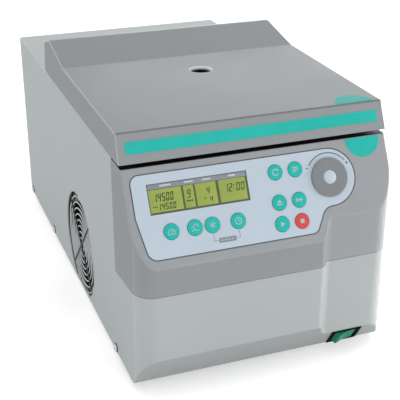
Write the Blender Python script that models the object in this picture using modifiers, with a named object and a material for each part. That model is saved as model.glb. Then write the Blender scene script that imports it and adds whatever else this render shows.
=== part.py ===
"""Refrigerated bench centrifuge: a sheet-metal cabinet with a moulded two-tone
front, a hinged lid over a refrigerated rotor chamber, a sloping control panel
with ten keys and a dial, a mains rocker switch and a side fan.

Units are metres. +Z is up, the front faces -Y, and the origin is at the bottom
centre of the whole object.  Dimensions below are written in millimetres and
multiplied by MM where they are used.
"""
import math

import bmesh
import bpy
from mathutils import Matrix, Vector

MM = 0.001

# ---------------------------------------------------------------- dimensions
HALF_W = 140.0               # half the width of the cabinet
Y_BACK = 271.4               # rear edge of the cover
Y_SIDE = -189.0              # front edge of the sheet-metal side panels
Y_FACE = -266.2              # main front face
Y_RECESS = -256.2            # front face of the right-hand recess
Z_BOTTOM = 10.0              # underside of the cabinet (height of the feet)
Z_COVER = 235.3              # top of the sheet-metal cover
Z_LEDGE = 234.1              # flat ledge on top of the front moulding
Z_SPLIT = 118.1              # parting line between the two front mouldings
SHEET = 1.5                  # sheet thickness
WALL = 3.0                   # plastic wall thickness

SLOPE = math.radians(27.59)  # control plane, measured from the vertical
Z_CREASE = 147.6             # where the control plane leaves the main face
UNDER = math.radians(32.525)  # undercut plane, measured from the vertical
Y_UNDER = -242.5             # where the undercut meets the underside

AXIS_X, AXIS_Y = 3.5, -51.0  # rotor axis
BOWL_R = 95.0
BOWL_Z = 147.0
DECK_Z = 231.0               # top face of the chamber deck plate
RIM_Z = 238.0                # top of the rim round the deck

HINGE_Y, HINGE_Z = 93.4, 247.0
ROD_R = 2.0

LID_HALF = 141.4             # half width at the lid's lower edge
LID_Z = 239.3                # lower edge of the lid
LID_Z_FRONT = 238.6
LID_BACK = 100.0

FAN_Y, FAN_Z = -34.4, 66.0
FAN_OPEN_R = 62.5
FAN_SIDE = 109.0

KNOB = (70.4, 61.9)          # on the control plane: across, up the slope
KNOB_R = 19.6
KEY_R = 7.6
KEYS = {
    "key_run_mode": (13.7, 74.5),
    "key_program": (35.1, 74.6),
    "key_lid_release": (13.0, 44.6),
    "key_short_spin": (34.3, 44.4),
    "key_start": (12.6, 23.5),
    "key_stop": (33.8, 23.4),
    "key_speed": (-100.0, 34.0),
    "key_ramp": (-76.5, 34.1),
    "key_temperature": (-58.8, 33.9),
    "key_time": (-32.3, 33.8),
}
LCD = (-117.0, -16.7, 52.0, 80.5)

ROCKER_X, ROCKER_W = 92.7, 12.6   # rocker pivot on the undercut plane
ROCKER_TILT = math.radians(12.7)

LOCK_X = 106.5
LOCK_Y, LOCK_Z = -163.0, 211.0    # pivot of the locking cam

# ---------------------------------------------------------------- clean start
for old in list(bpy.data.objects):
    bpy.data.objects.remove(old, do_unlink=True)

scene = bpy.context.scene
parts = bpy.data.collections.new("refrigerated_centrifuge")
cutters = bpy.data.collections.new("cutters")
scene.collection.children.link(parts)
scene.collection.children.link(cutters)


# ---------------------------------------------------------------- frames
def frame(x_axis, y_axis, z_axis, origin):
    """Matrix with the given axes as columns; the origin is in millimetres."""
    m = Matrix.Identity(4)
    for col, axis in enumerate((x_axis, y_axis, z_axis)):
        for row in range(3):
            m[row][col] = axis[row]
    for row in range(3):
        m[row][3] = origin[row] * MM
    return m


CONTROL = frame((1, 0, 0), (0, math.sin(SLOPE), math.cos(SLOPE)),
                (0, -math.cos(SLOPE), math.sin(SLOPE)), (0, Y_FACE, Z_CREASE))
UNDERCUT = frame((1, 0, 0), (0, -math.sin(UNDER), math.cos(UNDER)),
                 (0, -math.cos(UNDER), -math.sin(UNDER)), (0, Y_UNDER, Z_BOTTOM))
SECTION = frame((0, 1, 0), (0, 0, 1), (1, 0, 0), (0, 0, 0))   # Y, Z drawn, X deep
FAN = frame((0, -1, 0), (0, 0, 1), (-1, 0, 0), (-HALF_W, FAN_Y, FAN_Z))
WORLD = Matrix.Identity(4)


def shift(x, y, z):
    return Matrix.Translation(Vector((x, y, z)) * MM)


# ---------------------------------------------------------------- materials
def material(name, rgb, rough, metal=0.0):
    m = bpy.data.materials.new(name)
    m.use_nodes = True
    bsdf = m.node_tree.nodes["Principled BSDF"]
    bsdf.inputs["Base Color"].default_value = (*rgb, 1.0)
    bsdf.inputs["Roughness"].default_value = rough
    bsdf.inputs["Metallic"].default_value = metal
    m.diffuse_color = (*rgb, 1.0)
    return m


LIGHT = material("light_grey_paint", (0.42, 0.45, 0.45), 0.45)
LIGHT_PLASTIC = material("light_grey_plastic", (0.44, 0.46, 0.46), 0.4)
DARK = material("dark_grey_plastic", (0.30, 0.32, 0.33), 0.45)
STEEL = material("stainless_steel", (0.62, 0.62, 0.60), 0.3, 1.0)
ZINC = material("zinc_steel", (0.55, 0.56, 0.58), 0.4, 1.0)
BLACK = material("black_plastic", (0.02, 0.02, 0.02), 0.5)
ENAMEL = material("black_enamel", (0.03, 0.03, 0.03), 0.35)
RUBBER = material("rubber", (0.03, 0.03, 0.03), 0.8)
FOAM = material("foam", (0.75, 0.68, 0.45), 0.9)
COPPER = material("copper", (0.80, 0.42, 0.28), 0.3, 1.0)
ALU = material("aluminium", (0.70, 0.71, 0.72), 0.35, 1.0)
BOARD = material("circuit_board", (0.03, 0.22, 0.08), 0.5)
BLUE = material("pale_blue_film", (0.54, 0.63, 0.70), 0.5)
TEAL = material("teal_plastic", (0.04, 0.52, 0.45), 0.4)
RED = material("red_plastic", (0.66, 0.08, 0.08), 0.4)
GREEN = material("green_plastic", (0.03, 0.28, 0.16), 0.4)
SCREEN = material("screen_glass", (0.34, 0.42, 0.10), 0.2)
CLEAR = material("clear_plastic", (0.60, 0.64, 0.66), 0.1)
KNOB_GREY = material("knob_grey", (0.26, 0.27, 0.28), 0.45)


# ---------------------------------------------------------------- builders
def add(name, mesh, matrix, mat=None):
    """Link a part (mat given) or a hidden cutter (no mat)."""
    obj = bpy.data.objects.new(name, mesh)
    obj.matrix_world = matrix
    if mat is None:
        cutters.objects.link(obj)
        obj.hide_render = True
        obj.display_type = "WIRE"
    else:
        parts.objects.link(obj)
        mesh.materials.clear()
        mesh.materials.append(mat)
    return obj


def box(name, lo, hi, matrix=WORLD, mat=None):
    bm = bmesh.new()
    bmesh.ops.create_cube(bm, size=1.0)
    size = [(b - a) * MM for a, b in zip(lo, hi)]
    bmesh.ops.scale(bm, vec=size, verts=bm.verts)
    mesh = bpy.data.meshes.new(name)
    bm.to_mesh(mesh)
    bm.free()
    centre = [(a + b) / 2 for a, b in zip(lo, hi)]
    return add(name, mesh, matrix @ shift(*centre), mat)


def drill(name, spots, radius, z0, z1, matrix=WORLD, segments=16, mat=None):
    """One cutter (or part) of upright cylinders at each (x, y) spot."""
    bm = bmesh.new()
    for x, y in spots:
        bmesh.ops.create_cone(bm, cap_ends=True, cap_tris=False, segments=segments,
                              radius1=radius * MM, radius2=radius * MM,
                              depth=(z1 - z0) * MM,
                              matrix=shift(x, y, 0))
    mesh = bpy.data.meshes.new(name)
    bm.to_mesh(mesh)
    bm.free()
    return add(name, mesh, matrix @ shift(0, 0, (z0 + z1) / 2), mat)


def slots(name, boxes, matrix=WORLD):
    """One cutter of several separate boxes, each ((x0,y0,z0),(x1,y1,z1))."""
    bm = bmesh.new()
    for lo, hi in boxes:
        size = [(b - a) * MM for a, b in zip(lo, hi)]
        centre = [(a + b) / 2 for a, b in zip(lo, hi)]
        bmesh.ops.create_cube(bm, size=1.0,
                              matrix=shift(*centre) @ Matrix.Diagonal((*size, 1.0)))
    mesh = bpy.data.meshes.new(name)
    bm.to_mesh(mesh)
    bm.free()
    return add(name, mesh, matrix, None)


def smooth(obj, angle=35.0):
    obj.data.shade_smooth()
    obj.data.set_sharp_from_angle(angle=math.radians(angle))
    return obj


def turned(name, profile, matrix, mat, steps=32, ring=False):
    """Turn a profile of (radius, height) about the local Z axis.  The profile
    runs down the outer side; ring=True closes it on itself."""
    mesh = bpy.data.meshes.new(name)
    verts = [(r * MM, 0.0, z * MM) for r, z in profile]
    edges = [(i, i + 1) for i in range(len(profile) - 1)]
    if ring:
        edges.append((len(profile) - 1, 0))
    mesh.from_pydata(verts, edges, [])
    obj = add(name, mesh, matrix, mat)
    screw = obj.modifiers.new("Turn", "SCREW")
    screw.axis = "Z"
    screw.angle = 2 * math.pi
    screw.steps = steps
    screw.render_steps = steps
    screw.use_merge_vertices = True
    screw.merge_threshold = 0.00005
    screw.use_smooth_shade = True
    return obj


def to_mesh(obj, weld=0.00002):
    """Replace an object by its evaluated, welded mesh, in the same place."""
    deps = bpy.context.evaluated_depsgraph_get()
    deps.update()
    mesh = bpy.data.meshes.new_from_object(obj.evaluated_get(deps), depsgraph=deps)
    bm = bmesh.new()
    bm.from_mesh(mesh)
    bmesh.ops.remove_doubles(bm, verts=bm.verts, dist=weld)
    bmesh.ops.recalc_face_normals(bm, faces=bm.faces)
    bm.to_mesh(mesh)
    bm.free()
    name, matrix = obj.name, obj.matrix_world.copy()
    home = obj.users_collection[0]
    bpy.data.objects.remove(obj, do_unlink=True)
    new = bpy.data.objects.new(name, mesh)
    new.matrix_world = matrix
    home.objects.link(new)
    if home == cutters:
        new.hide_render = True
        new.display_type = "WIRE"
    return new


def plate(name, outline, z0, z1, matrix=WORLD, mat=None, holes=()):
    """A flat outline with holes, drawn as a 2D curve and extruded."""
    curve = bpy.data.curves.new(name, "CURVE")
    curve.dimensions = "2D"
    curve.fill_mode = "BOTH"
    curve.extrude = (z1 - z0) / 2 * MM
    for loop in (outline, *holes):
        spline = curve.splines.new("POLY")
        spline.points.add(len(loop) - 1)
        for point, (x, y) in zip(spline.points, loop):
            point.co = (x * MM, y * MM, 0.0, 1.0)
        spline.use_cyclic_u = True
    obj = bpy.data.objects.new(name, curve)
    obj.matrix_world = matrix @ shift(0, 0, (z0 + z1) / 2)
    home = cutters if mat is None else parts
    home.objects.link(obj)
    obj = to_mesh(obj)
    if mat is not None:
        obj.data.materials.clear()
        obj.data.materials.append(mat)
    return obj


def tube(name, points, radius, mat, sides=2):
    """A round tube through the points (millimetres), with closed ends."""
    curve = bpy.data.curves.new(name, "CURVE")
    curve.dimensions = "3D"
    curve.bevel_depth = radius * MM
    curve.bevel_resolution = sides
    curve.use_fill_caps = True
    spline = curve.splines.new("POLY")
    spline.points.add(len(points) - 1)
    for point, co in zip(spline.points, points):
        point.co = (*[c * MM for c in co], 1.0)
    obj = bpy.data.objects.new(name, curve)
    parts.objects.link(obj)
    curve.materials.append(mat)
    return obj


def boolean(target, other, operation="DIFFERENCE"):
    mod = target.modifiers.new(operation.title(), "BOOLEAN")
    mod.operation = operation
    mod.solver = "EXACT"
    mod.object = other
    return target


def join(target, *others):
    for other in others:
        boolean(target, other, "UNION")
    return target


def bevel(obj, width, segments=2, angle=40.0):
    mod = obj.modifiers.new("Bevel", "BEVEL")
    mod.width = width * MM
    mod.segments = segments
    mod.limit_method = "ANGLE"
    mod.angle_limit = math.radians(angle)
    return obj


def carried(empty_name, location, *objects):
    """Parent moving pieces to an empty that sits on their joint's axis."""
    empty = bpy.data.objects.new(empty_name, None)
    empty.empty_display_size = 0.02
    empty.location = Vector(location)
    parts.objects.link(empty)
    for obj in objects:
        obj.parent = empty
        obj.matrix_parent_inverse = Matrix.Translation(Vector(location)).inverted()
    return empty


# ---------------------------------------------------------------- outlines
def circle(x, y, r, n, start=0.0):
    return [(x + r * math.cos(start + 2 * math.pi * k / n),
             y + r * math.sin(start + 2 * math.pi * k / n)) for k in range(n)]


def rectangle(x0, x1, y0, y1):
    return [(x0, y0), (x1, y0), (x1, y1), (x0, y1)]


def arc(x, y, rx, ry, a0, a1, n):
    return [(x + rx * math.cos(math.radians(a0 + (a1 - a0) * k / n)),
             y + ry * math.sin(math.radians(a0 + (a1 - a0) * k / n)))
            for k in range(n + 1)]


def step_curve(x0, y0, x1, y1, r, turn, n):
    """A step between two parallel faces: two arcs and the flat between them."""
    points = []
    for k in range(n + 1):
        a = math.radians(turn * k / n)
        points.append((x0 + r * math.sin(a), y0 + r * (1 - math.cos(a))))
    return points + [(x1 - (x - x0), y1 - (y - y0)) for x, y in points[::-1]]


def filleted(corners, steps=4):
    """Round each (x, y, radius) corner of a closed outline."""
    out = []
    n = len(corners)
    for i, (x, y, r) in enumerate(corners):
        if r <= 0:
            out.append((x, y))
            continue
        p = Vector((x, y))
        da = (Vector(corners[i - 1][:2]) - p).normalized()
        db = (Vector(corners[(i + 1) % n][:2]) - p).normalized()
        half = da.angle(db) / 2
        c = p + (da + db).normalized() * (r / math.sin(half))
        s = p + da * (r / math.tan(half))
        e = p + db * (r / math.tan(half))
        a0 = math.atan2(s.y - c.y, s.x - c.x)
        a1 = math.atan2(e.y - c.y, e.x - c.x)
        sweep = (a1 - a0 + math.pi) % (2 * math.pi) - math.pi
        for k in range(steps + 1):
            a = a0 + sweep * k / steps
            out.append((c.x + r * math.cos(a), c.y + r * math.sin(a)))
    return out


def inset(points, distance, closed=False):
    """Move a counter-clockwise outline inwards by a distance."""
    out = []
    n = len(points)
    for i in range(n):
        p = Vector(points[i])
        before = Vector(points[i - 1]) if (closed or i > 0) else None
        after = Vector(points[(i + 1) % n]) if (closed or i < n - 1) else None
        normals = []
        if before is not None:
            d = (p - before).normalized()
            normals.append(Vector((-d.y, d.x)))
        if after is not None:
            d = (after - p).normalized()
            normals.append(Vector((-d.y, d.x)))
        m = sum(normals, Vector((0.0, 0.0)))
        m.normalize()
        scale = 1.0 / max(0.3, m.dot(normals[0]))
        q = p + m * distance * scale
        out.append((q.x, q.y))
    return out


def front_plan():
    """Plan outline of the front moulding, left back edge to right back edge."""
    plan = [(-HALF_W, Y_SIDE)]
    plan += arc(-118.0, -244.6, 22.0, 21.6, 180, 270, 7)          # left corner
    plan += step_curve(52.5, Y_FACE, 67.5, Y_RECESS, 8.1, 65, 4)  # step to the recess
    plan += arc(117.0, -228.0, 23.0, 28.2, -90, 0, 7)             # right corner
    plan.append((HALF_W, Y_SIDE))
    return plan


def overlay_outline():
    corners = [(-132.9, 91.0, 9.0), (-132.9, 50.0, 0.0), (-125.2, 8.8, 11.0),
               (48.6, 8.8, 8.0), (61.5, 33.0, 12.0)]
    left = filleted(corners + [(70.0, 33.0, 0.0), (99.0, 62.0, 0.0), (70.0, 91.0, 0.0)], 4)
    lobe = arc(70.0, 62.0, 29.0, 29.0, -90, 90, 14)
    cut_at = left.index((70.0, 33.0))
    return left[:cut_at] + lobe


def lid_section(wall=0.0):
    """Side outline of the lid, front lower edge first, then over the top."""
    top = [(LID_BACK - (2.2 if wall else 0.0), LID_Z - (2.0 if wall else 0.0))]
    back = [(100.0, 253.0), (100.0, 266.5), (99.2, 270.5), (97.2, 273.5), (93.6, 275.9),
            (88.0, 278.1), (80.0, 280.6), (73.0, 281.9), (3.0, 268.2),
            (-209.2, 266.3)]
    if wall:
        outer = [(LID_BACK, LID_Z - 2.0)] + back + [(-221.46, 237.0)]
        inner = inset(outer, wall)
        inner[0] = top[0]
        inner[1] = (inner[0][0], inner[1][1])
        return [inner[0]] + inner[1:-1] + [(inner[-1][0], 234.0), (inner[0][0], 234.0)]
    return top + back + [(-220.79, LID_Z_FRONT)]


# ================================================================ cabinet
# ---- base pan: a shallow steel tray with upturned sides
base_pan = box("base_pan", (-138.2, -186.5, Z_BOTTOM), (138.2, 268.2, 26.0), mat=ZINC)
boolean(base_pan, box("cut_pan_hollow", (-136.7, -200, 11.5), (136.7, 266.7, 40)))
boolean(base_pan, plate("add_pan_nose", [(-133.0, -186.6), (-133.0, -238.5), (133.0, -238.5),
                                         (133.0, -186.6), (133.0, -180.0), (-133.0, -180.0)],
                        Z_BOTTOM, 11.5), "UNION")
boolean(base_pan, box("cut_pan_fan", (-150, FAN_Y - 63, 11.5), (-130, FAN_Y + 63, 40)))
SCREWS_Y = (-181.0, 118.0, 256.0)
SCREW_Z = 15.0
left_holes = frame((0, 1, 0), (0, 0, 1), (1, 0, 0), (0, 0, 0))
screw_spots = [(y, SCREW_Z) for y in SCREWS_Y]
boolean(base_pan, drill("cut_pan_holes", screw_spots, 2.1, -150, 150, left_holes, 10))

# ---- cover: two side panels and the rear deck, one bent sheet
cover = box("housing_cover", (-HALF_W, Y_SIDE, Z_BOTTOM), (HALF_W, Y_BACK, Z_COVER), mat=LIGHT)
bevel(cover, 2.0, 2)
cover.modifiers["Bevel"].limit_method = "WEIGHT"
weights = cover.data.attributes.new("bevel_weight_edge", "FLOAT", "EDGE")
for edge in cover.data.edges:
    a, b = (cover.data.vertices[i].co for i in edge.vertices)
    on_top = a.z > 0 and b.z > 0
    along_y = abs(a.x - b.x) < 1e-6
    weights.data[edge.index].value = 1.0 if (on_top and along_y) else 0.0
boolean(cover, box("cut_cover_inside", (-HALF_W + SHEET, -300, 0), (HALF_W - SHEET, 300, Z_COVER - SHEET)))
boolean(cover, box("cut_cover_top", (-HALF_W + SHEET, -300, 200), (HALF_W - SHEET, 100.4, 260)))
opening = [(x - 1.4, max(y, 11.8 - FAN_Z)) for x, y in circle(0, 0, FAN_OPEN_R, 44)]
boolean(cover, plate("cut_fan_opening", opening, -12, 6, FAN))
boolean(cover, drill("cut_cover_holes", screw_spots, 2.1, -150, 150, left_holes, 10))
boolean(cover, slots("cut_side_vents", [((130, 136 + 12 * k, 60), (150, 139.2 + 12 * k, 112))
                                        for k in range(9)]))

# ---- rear panel
rear = box("rear_panel", (-138.2, 268.5, 10.3), (138.2, 270.0, 233.5), mat=LIGHT)
INLET_X, INLET_Z = -92.0, 46.0
boolean(rear, slots("cut_rear_panel", [((INLET_X - 14, 262, INLET_Z - 10.5), (INLET_X + 14, 275, INLET_Z + 10.5))]
                    + [((-20, 262, 70 + 11 * k), (112, 275, 73.2 + 11 * k)) for k in range(8)]))

# ---- front mouldings
plan = front_plan()


def front_solid(name, depth, z0, z1, mat=None):
    """The moulding's block: the plan raised, then trimmed by the sloping
    control plane and by the undercut, each moved inwards by depth."""
    outline = plan if depth == 0 else inset(plan, depth)
    if depth:
        outline = [(outline[0][0], -170.0)] + outline[1:-1] + [(outline[-1][0], -170.0)]
    solid = plate(name, outline, z0, z1, mat=mat)
    boolean(solid, box(name + "_slope_cut", (-200, -90, -depth), (200, 220, 130), CONTROL))
    boolean(solid, box(name + "_under_cut", (-200, -60, -depth), (200, 110, 120), UNDERCUT))
    return solid


inner_block = front_solid("cut_front_inside", WALL, 4.0, Z_LEDGE - WALL)
lower = front_solid("front_panel_lower", 0.0, Z_BOTTOM, Z_SPLIT - 0.15, LIGHT_PLASTIC)
boolean(lower, inner_block)
upper = front_solid("front_panel_upper", 0.0, Z_SPLIT - 7.0, Z_LEDGE, DARK)
boolean(upper, inner_block)
# the seam between the two halves runs level across the front and falls
# towards the back on the sides
SEAM_Y, SEAM_DROP = -250.0, 6.4
fall = SEAM_DROP / (Y_SIDE - SEAM_Y)
seam = [(-300.0, Z_SPLIT), (SEAM_Y, Z_SPLIT), (-150.0, Z_SPLIT - fall * (-150.0 - SEAM_Y))]
boolean(upper, plate("cut_upper_seam", [(y, z + 0.15) for y, z in seam][::-1] + [(-300.0, 90.0), (-150.0, 90.0)],
                     -200, 200, SECTION))
boolean(lower, plate("cut_lower_seam", [(y, z - 0.15) for y, z in seam] + [(-150.0, 140.0), (-300.0, 140.0)],
                     -200, 200, SECTION))

# the keypad film lies in a shallow pocket
film = overlay_outline()
boolean(upper, plate("cut_film_pocket", inset(film, -0.5, closed=True), -0.6, 4.0, CONTROL))
key_spots = list(KEYS.values())
boolean(upper, drill("cut_key_holes", key_spots, 8.0, -6, 2, CONTROL, 16))
boolean(upper, slots("cut_lcd", [((LCD[0] - 0.4, LCD[2] - 0.4, -6), (LCD[1] + 0.4, LCD[3] + 0.4, 2))], CONTROL))
boolean(upper, drill("cut_knob_hole", [KNOB], 3.8, -6, 2, CONTROL, 16))
boolean(lower, box("cut_switch_hole", (76.0, 1.6, -8), (109.4, 23.8, 4), UNDERCUT))

overlay = plate("keypad_overlay", film, -0.3, 0.1, CONTROL, BLUE,
                holes=[circle(x, y, 7.9, 16) for x, y in key_spots]
                + [circle(*KNOB, 3.8, 16), rectangle(LCD[0] - 0.3, LCD[1] + 0.3, LCD[2] - 0.3, LCD[3] + 0.3)])

lcd = box("lcd_module", (LCD[0], LCD[2], -8.6), (LCD[1], LCD[3], -0.1), CONTROL, SCREEN)
board = box("control_board", (-128, 16, -11.0), (92, 88, -9.4), CONTROL, BOARD)

# ---- keys and dial
keys = []
for name, (x, y) in KEYS.items():
    keys.append(turned(name, [(0, 0.9), (KEY_R, 0.9), (KEY_R, -3.6), (8.6, -3.6), (8.6, -5.0), (0, -5.0)],
                       CONTROL @ shift(x, y, 0), RED if name == "key_stop" else TEAL, 16))
knob = turned("speed_knob", [(0, 2.4), (18.8, 2.4), (KNOB_R, 1.7), (KNOB_R, 0.5),
                             (3.0, 0.5), (3.0, -8.8), (0, -8.8)],
              CONTROL @ shift(KNOB[0], KNOB[1], 0), KNOB_GREY, 32)

# ---- mains switch on the undercut
switch_frame = box("switch_frame", (75.2, 0.6, 0.3), (110.2, 24.8, 1.0), UNDERCUT, BLACK)
join(switch_frame, box("add_switch_body", (76.4, 2.0, -14.0), (109.0, 23.4, 0.5), UNDERCUT))
boolean(switch_frame, box("cut_switch_well", (ROCKER_X - 13.3, 3.1, -12.0),
                          (ROCKER_X + 13.3, 22.3, 4.0), UNDERCUT))
rocker_shape = ([(-10.9, 5.9)] + [(-12.4, 0.0), (-12.0, -3.0)] + [(-8.0, -6.0), (8.0, -6.0)]
                + [(12.0, -3.0), (12.4, 0.0)] + [(10.9, 5.9), (0.0, 4.7)])
ROCKER_FRAME = (UNDERCUT @ shift(ROCKER_X, ROCKER_W, -3.0)
                @ frame((1, 0, 0), (0, 0, 1), (0, -1, 0), (0, 0, 0))
                @ Matrix.Rotation(-ROCKER_TILT, 4, "Z"))
rocker = plate("power_rocker", rocker_shape, -9.2, 9.2, ROCKER_FRAME, GREEN)

# ---- chamber deck
deck = box("chamber_deck", (-138.2, -188.7, 226.0), (138.2, 100.0, RIM_Z), mat=DARK)
boolean(deck, box("cut_deck_top", (-135.2, -185.7, DECK_Z), (135.2, 120, 250)))
boolean(deck, box("cut_deck_rear", (-150, 80.4, DECK_Z), (150, 120, 250)))
boolean(deck, box("cut_deck_under", (-135.2, -185.7, 220), (135.2, 97.0, 228)))
boolean(deck, drill("cut_deck_bowl", [(AXIS_X, AXIS_Y)], 98.0, 220, 240, segments=40))
boolean(deck, box("cut_deck_slot", (LOCK_X - 8.0, -185.2, 220), (LOCK_X + 8.0, -162.0, 240)))

# ---- rotor chamber
AXIS = shift(AXIS_X, AXIS_Y, 0)
bowl = turned("rotor_bowl", [(107.0, 232.5), (107.0, 231.3), (BOWL_R + 1.4, 231.3), (BOWL_R + 1.4, 152.0),
                             (BOWL_R - 5.0, BOWL_Z - 1.4), (14.0, BOWL_Z - 1.4), (14.0, BOWL_Z),
                             (BOWL_R - 6.0, BOWL_Z), (BOWL_R, 153.0), (BOWL_R, 232.5)],
              AXIS, STEEL, 32, ring=True)
COIL_R = 101.3
coil_points = []
for k in range(4 * 20 + 1):
    a = 2 * math.pi * k / 20
    coil_points.append((AXIS_X + COIL_R * math.cos(a), AXIS_Y + COIL_R * math.sin(a), 162 + 12 * k / 20))
coil = tube("evaporator_coil", coil_points, 3.2, COPPER, 1)
insulation = turned("bowl_insulation", [(118, 225.6), (118, 128), (26, 128), (26, 143),
                                        (106, 143), (106, 225.6)], AXIS, FOAM, 28, ring=True)

# ---- drive
motor = turned("drive_motor", [(0, 120), (20, 120), (22, 106), (38, 105), (40, 102), (40, 34),
                               (37, 30), (24, 28), (0, 28)], AXIS, ENAMEL, 24)
boolean(motor, drill("cut_motor_bore", [(0, 0)], 6.0, 94, 130, AXIS, 16))
mount = turned("motor_mount", [(40, 27.6), (40, 11.8), (28, 11.8), (28, 27.6)], AXIS, RUBBER, 20, ring=True)
shaft = turned("motor_shaft", [(0, 185), (4.2, 185), (5.0, 183), (5.0, 96), (0, 96)], AXIS, STEEL, 16)
rotor = turned("rotor", [(80, 205), (80, 199), (54, 160), (48, 156), (6.2, 156), (6.2, 190),
                         (14, 190), (20, 181), (30, 178), (75, 203.5), (77, 205)], AXIS, ALU, 28, ring=True)
rotor_lid = turned("rotor_lid", [(24, 213.5), (28, 210.8), (76, 208.6), (79.4, 207.4), (80, 206.4), (80, 205.4),
                                 (26, 205.4), (20, 191.2), (7.4, 191.2), (7.4, 213.5)],
                   AXIS, BLACK, 28, ring=True)
rotor_nut = turned("rotor_nut", [(0, 224.5), (15, 224.5), (17, 222.8), (17, 213.9), (6.0, 213.9),
                                 (6.0, 186.5), (0, 186.5)], AXIS, BLACK, 20)

# ---- refrigeration
condenser = box("condenser", (-108, FAN_Y - 52, 14), (-80, FAN_Y + 52, 118), mat=ALU)
boolean(condenser, slots("cut_fins", [((-112, FAN_Y - 46.5 + 12 * k, 18), (-84, FAN_Y - 41.0 + 12 * k, 122))
                                      for k in range(8)]))
COMP_X, COMP_Y = 44.0, 190.0
compressor = turned("compressor", [(0, 152), (26, 149), (45, 138), (54, 122), (56, 96), (56, 60), (54, 38),
                                   (44, 20), (26, 13.5), (0, 12.2)], shift(COMP_X, COMP_Y, 0), ENAMEL, 24)


def smooth_path(knots, per):
    """Catmull-Rom curve through the knots."""
    pts = [knots[0]] + list(knots) + [knots[-1]]
    out = []
    for i in range(1, len(pts) - 2):
        p0, p1, p2, p3 = (Vector(pts[j]) for j in (i - 1, i, i + 1, i + 2))
        for k in range(per):
            t = k / per
            out.append(tuple(0.5 * ((2 * p1) + (p2 - p0) * t + (2 * p0 - 5 * p1 + 4 * p2 - p3) * t * t
                                    + (3 * p1 - p0 - 3 * p2 + p3) * t ** 3)))
    out.append(tuple(knots[-1]))
    return out


pipe = tube("refrigerant_pipe", smooth_path(
    [(COMP_X - 57.0, COMP_Y - 10, 95), (COMP_X - 66, COMP_Y - 12, 96), (-42, 160, 100), (-66, 118, 104),
     (-86, 74, 108), (-92, 44, 108), (-92, 30, 108), (-92, FAN_Y + 52.4, 108)], 3), 3.0, COPPER, 1)

# ---- electronics
power = box("power_board", (-128, 120, 30.0), (-34, 240, 31.6), mat=BOARD)
join(power, box("add_transformer", (-118, 196, 31.0), (-82, 232, 62.0)),
     box("add_heatsink", (-70, 130, 31.0), (-42, 190, 52.0)))

# ---- fan, guard
fan_frame = box("fan_frame", (-FAN_SIDE / 2, -FAN_SIDE / 2, -28.7), (FAN_SIDE / 2, FAN_SIDE / 2, -3.7), FAN, BLACK)
boolean(fan_frame, drill("cut_fan_duct", [(0, 0)], 51.0, -40, 10, FAN, 32))
join(fan_frame, box("add_fan_strut_a", (-52.5, -3, -28.7), (52.5, 3, -25.5), FAN @ Matrix.Rotation(0.35, 4, "Z")),
     box("add_fan_strut_b", (-3, -52.5, -28.6), (3, 52.5, -25.6), FAN @ Matrix.Rotation(0.35, 4, "Z")),
     drill("add_fan_motor", [(0, 0)], 19.0, -28.8, -24.0, FAN, 20))
impeller = drill("fan_impeller", [(0, 0)], 20.0, -23.5, -6.5, FAN, 20, BLACK)
blades = []
for k in range(7):
    turn = Matrix.Rotation(2 * math.pi * k / 7, 4, "Z")
    blades.append(box("add_blade_%d" % (k + 1), (0, -12, -0.8), (31, 12, 0.8),
                          FAN @ turn @ shift(18, 0, -15) @ Matrix.Rotation(math.radians(32), 4, "X")))
join(impeller, *blades)

RINGS = [8.2 + 7.0 * k for k in range(8)]
guard = plate("fan_guard", circle(0, 0, RINGS[0] + 0.8, 12), -2.6, -1.2, FAN, ZINC,
              holes=[circle(0, 0, RINGS[0] - 0.8, 12)])
for k, r in enumerate(RINGS[1:]):
    n = 16 if r < 25 else 20 if r < 40 else 24
    plate("add_guard_ring_%d" % (k + 2), circle(0, 0, r + 0.8, n), -2.6, -1.2, FAN,
          holes=[circle(0, 0, r - 0.8, n)])
SPOKE = [(-73.0, -3.3), (-58.0, -3.3), (-56.0, -1.9), (56.0, -1.9), (58.0, -3.3), (73.0, -3.3),
         (73.0, -1.8), (59.0, -1.8), (57.0, -0.4), (-57.0, -0.4), (-59.0, -1.8), (-73.0, -1.8)]
for name, angle, half in (("a", 45, 1.2), ("b", -45, 1.15)):
    boolean(guard, plate("add_guard_spoke_" + name, SPOKE, -half, half,
                         FAN @ Matrix.Rotation(math.radians(angle), 4, "Z")
                         @ frame((1, 0, 0), (0, 0, 1), (0, -1, 0), (0, 0, 0))), "UNION")
for k in range(len(RINGS) - 1):
    boolean(guard, bpy.data.objects["add_guard_ring_%d" % (k + 2)], "UNION")
boolean(guard, box("cut_guard_low", (-70, -70, -6), (70, 12.0 - FAN_Z, 2), FAN))

# ---- mains inlet
INLET = frame((-1, 0, 0), (0, 0, 1), (0, 1, 0), (INLET_X, 0, INLET_Z))
inlet = box("mains_inlet", (-17, -12.5, 270.3), (17, 12.5, Y_BACK), INLET, BLACK)
join(inlet, box("add_inlet_body", (-13.6, -10.1, 249.0), (13.6, 10.1, 270.8), INLET))
boolean(inlet, box("cut_inlet_well", (-11.5, -8.0, 252.0), (11.5, 8.0, 285), INLET))
for k, (px, pz) in enumerate(((-7.0, -1.5), (0.0, 2.0), (7.0, -1.5))):
    join(inlet, box("add_inlet_pin_%d" % (k + 1), (px - 1.0, pz - 2.0, 251.0), (px + 1.0, pz + 2.0, 264.5), INLET))

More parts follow.
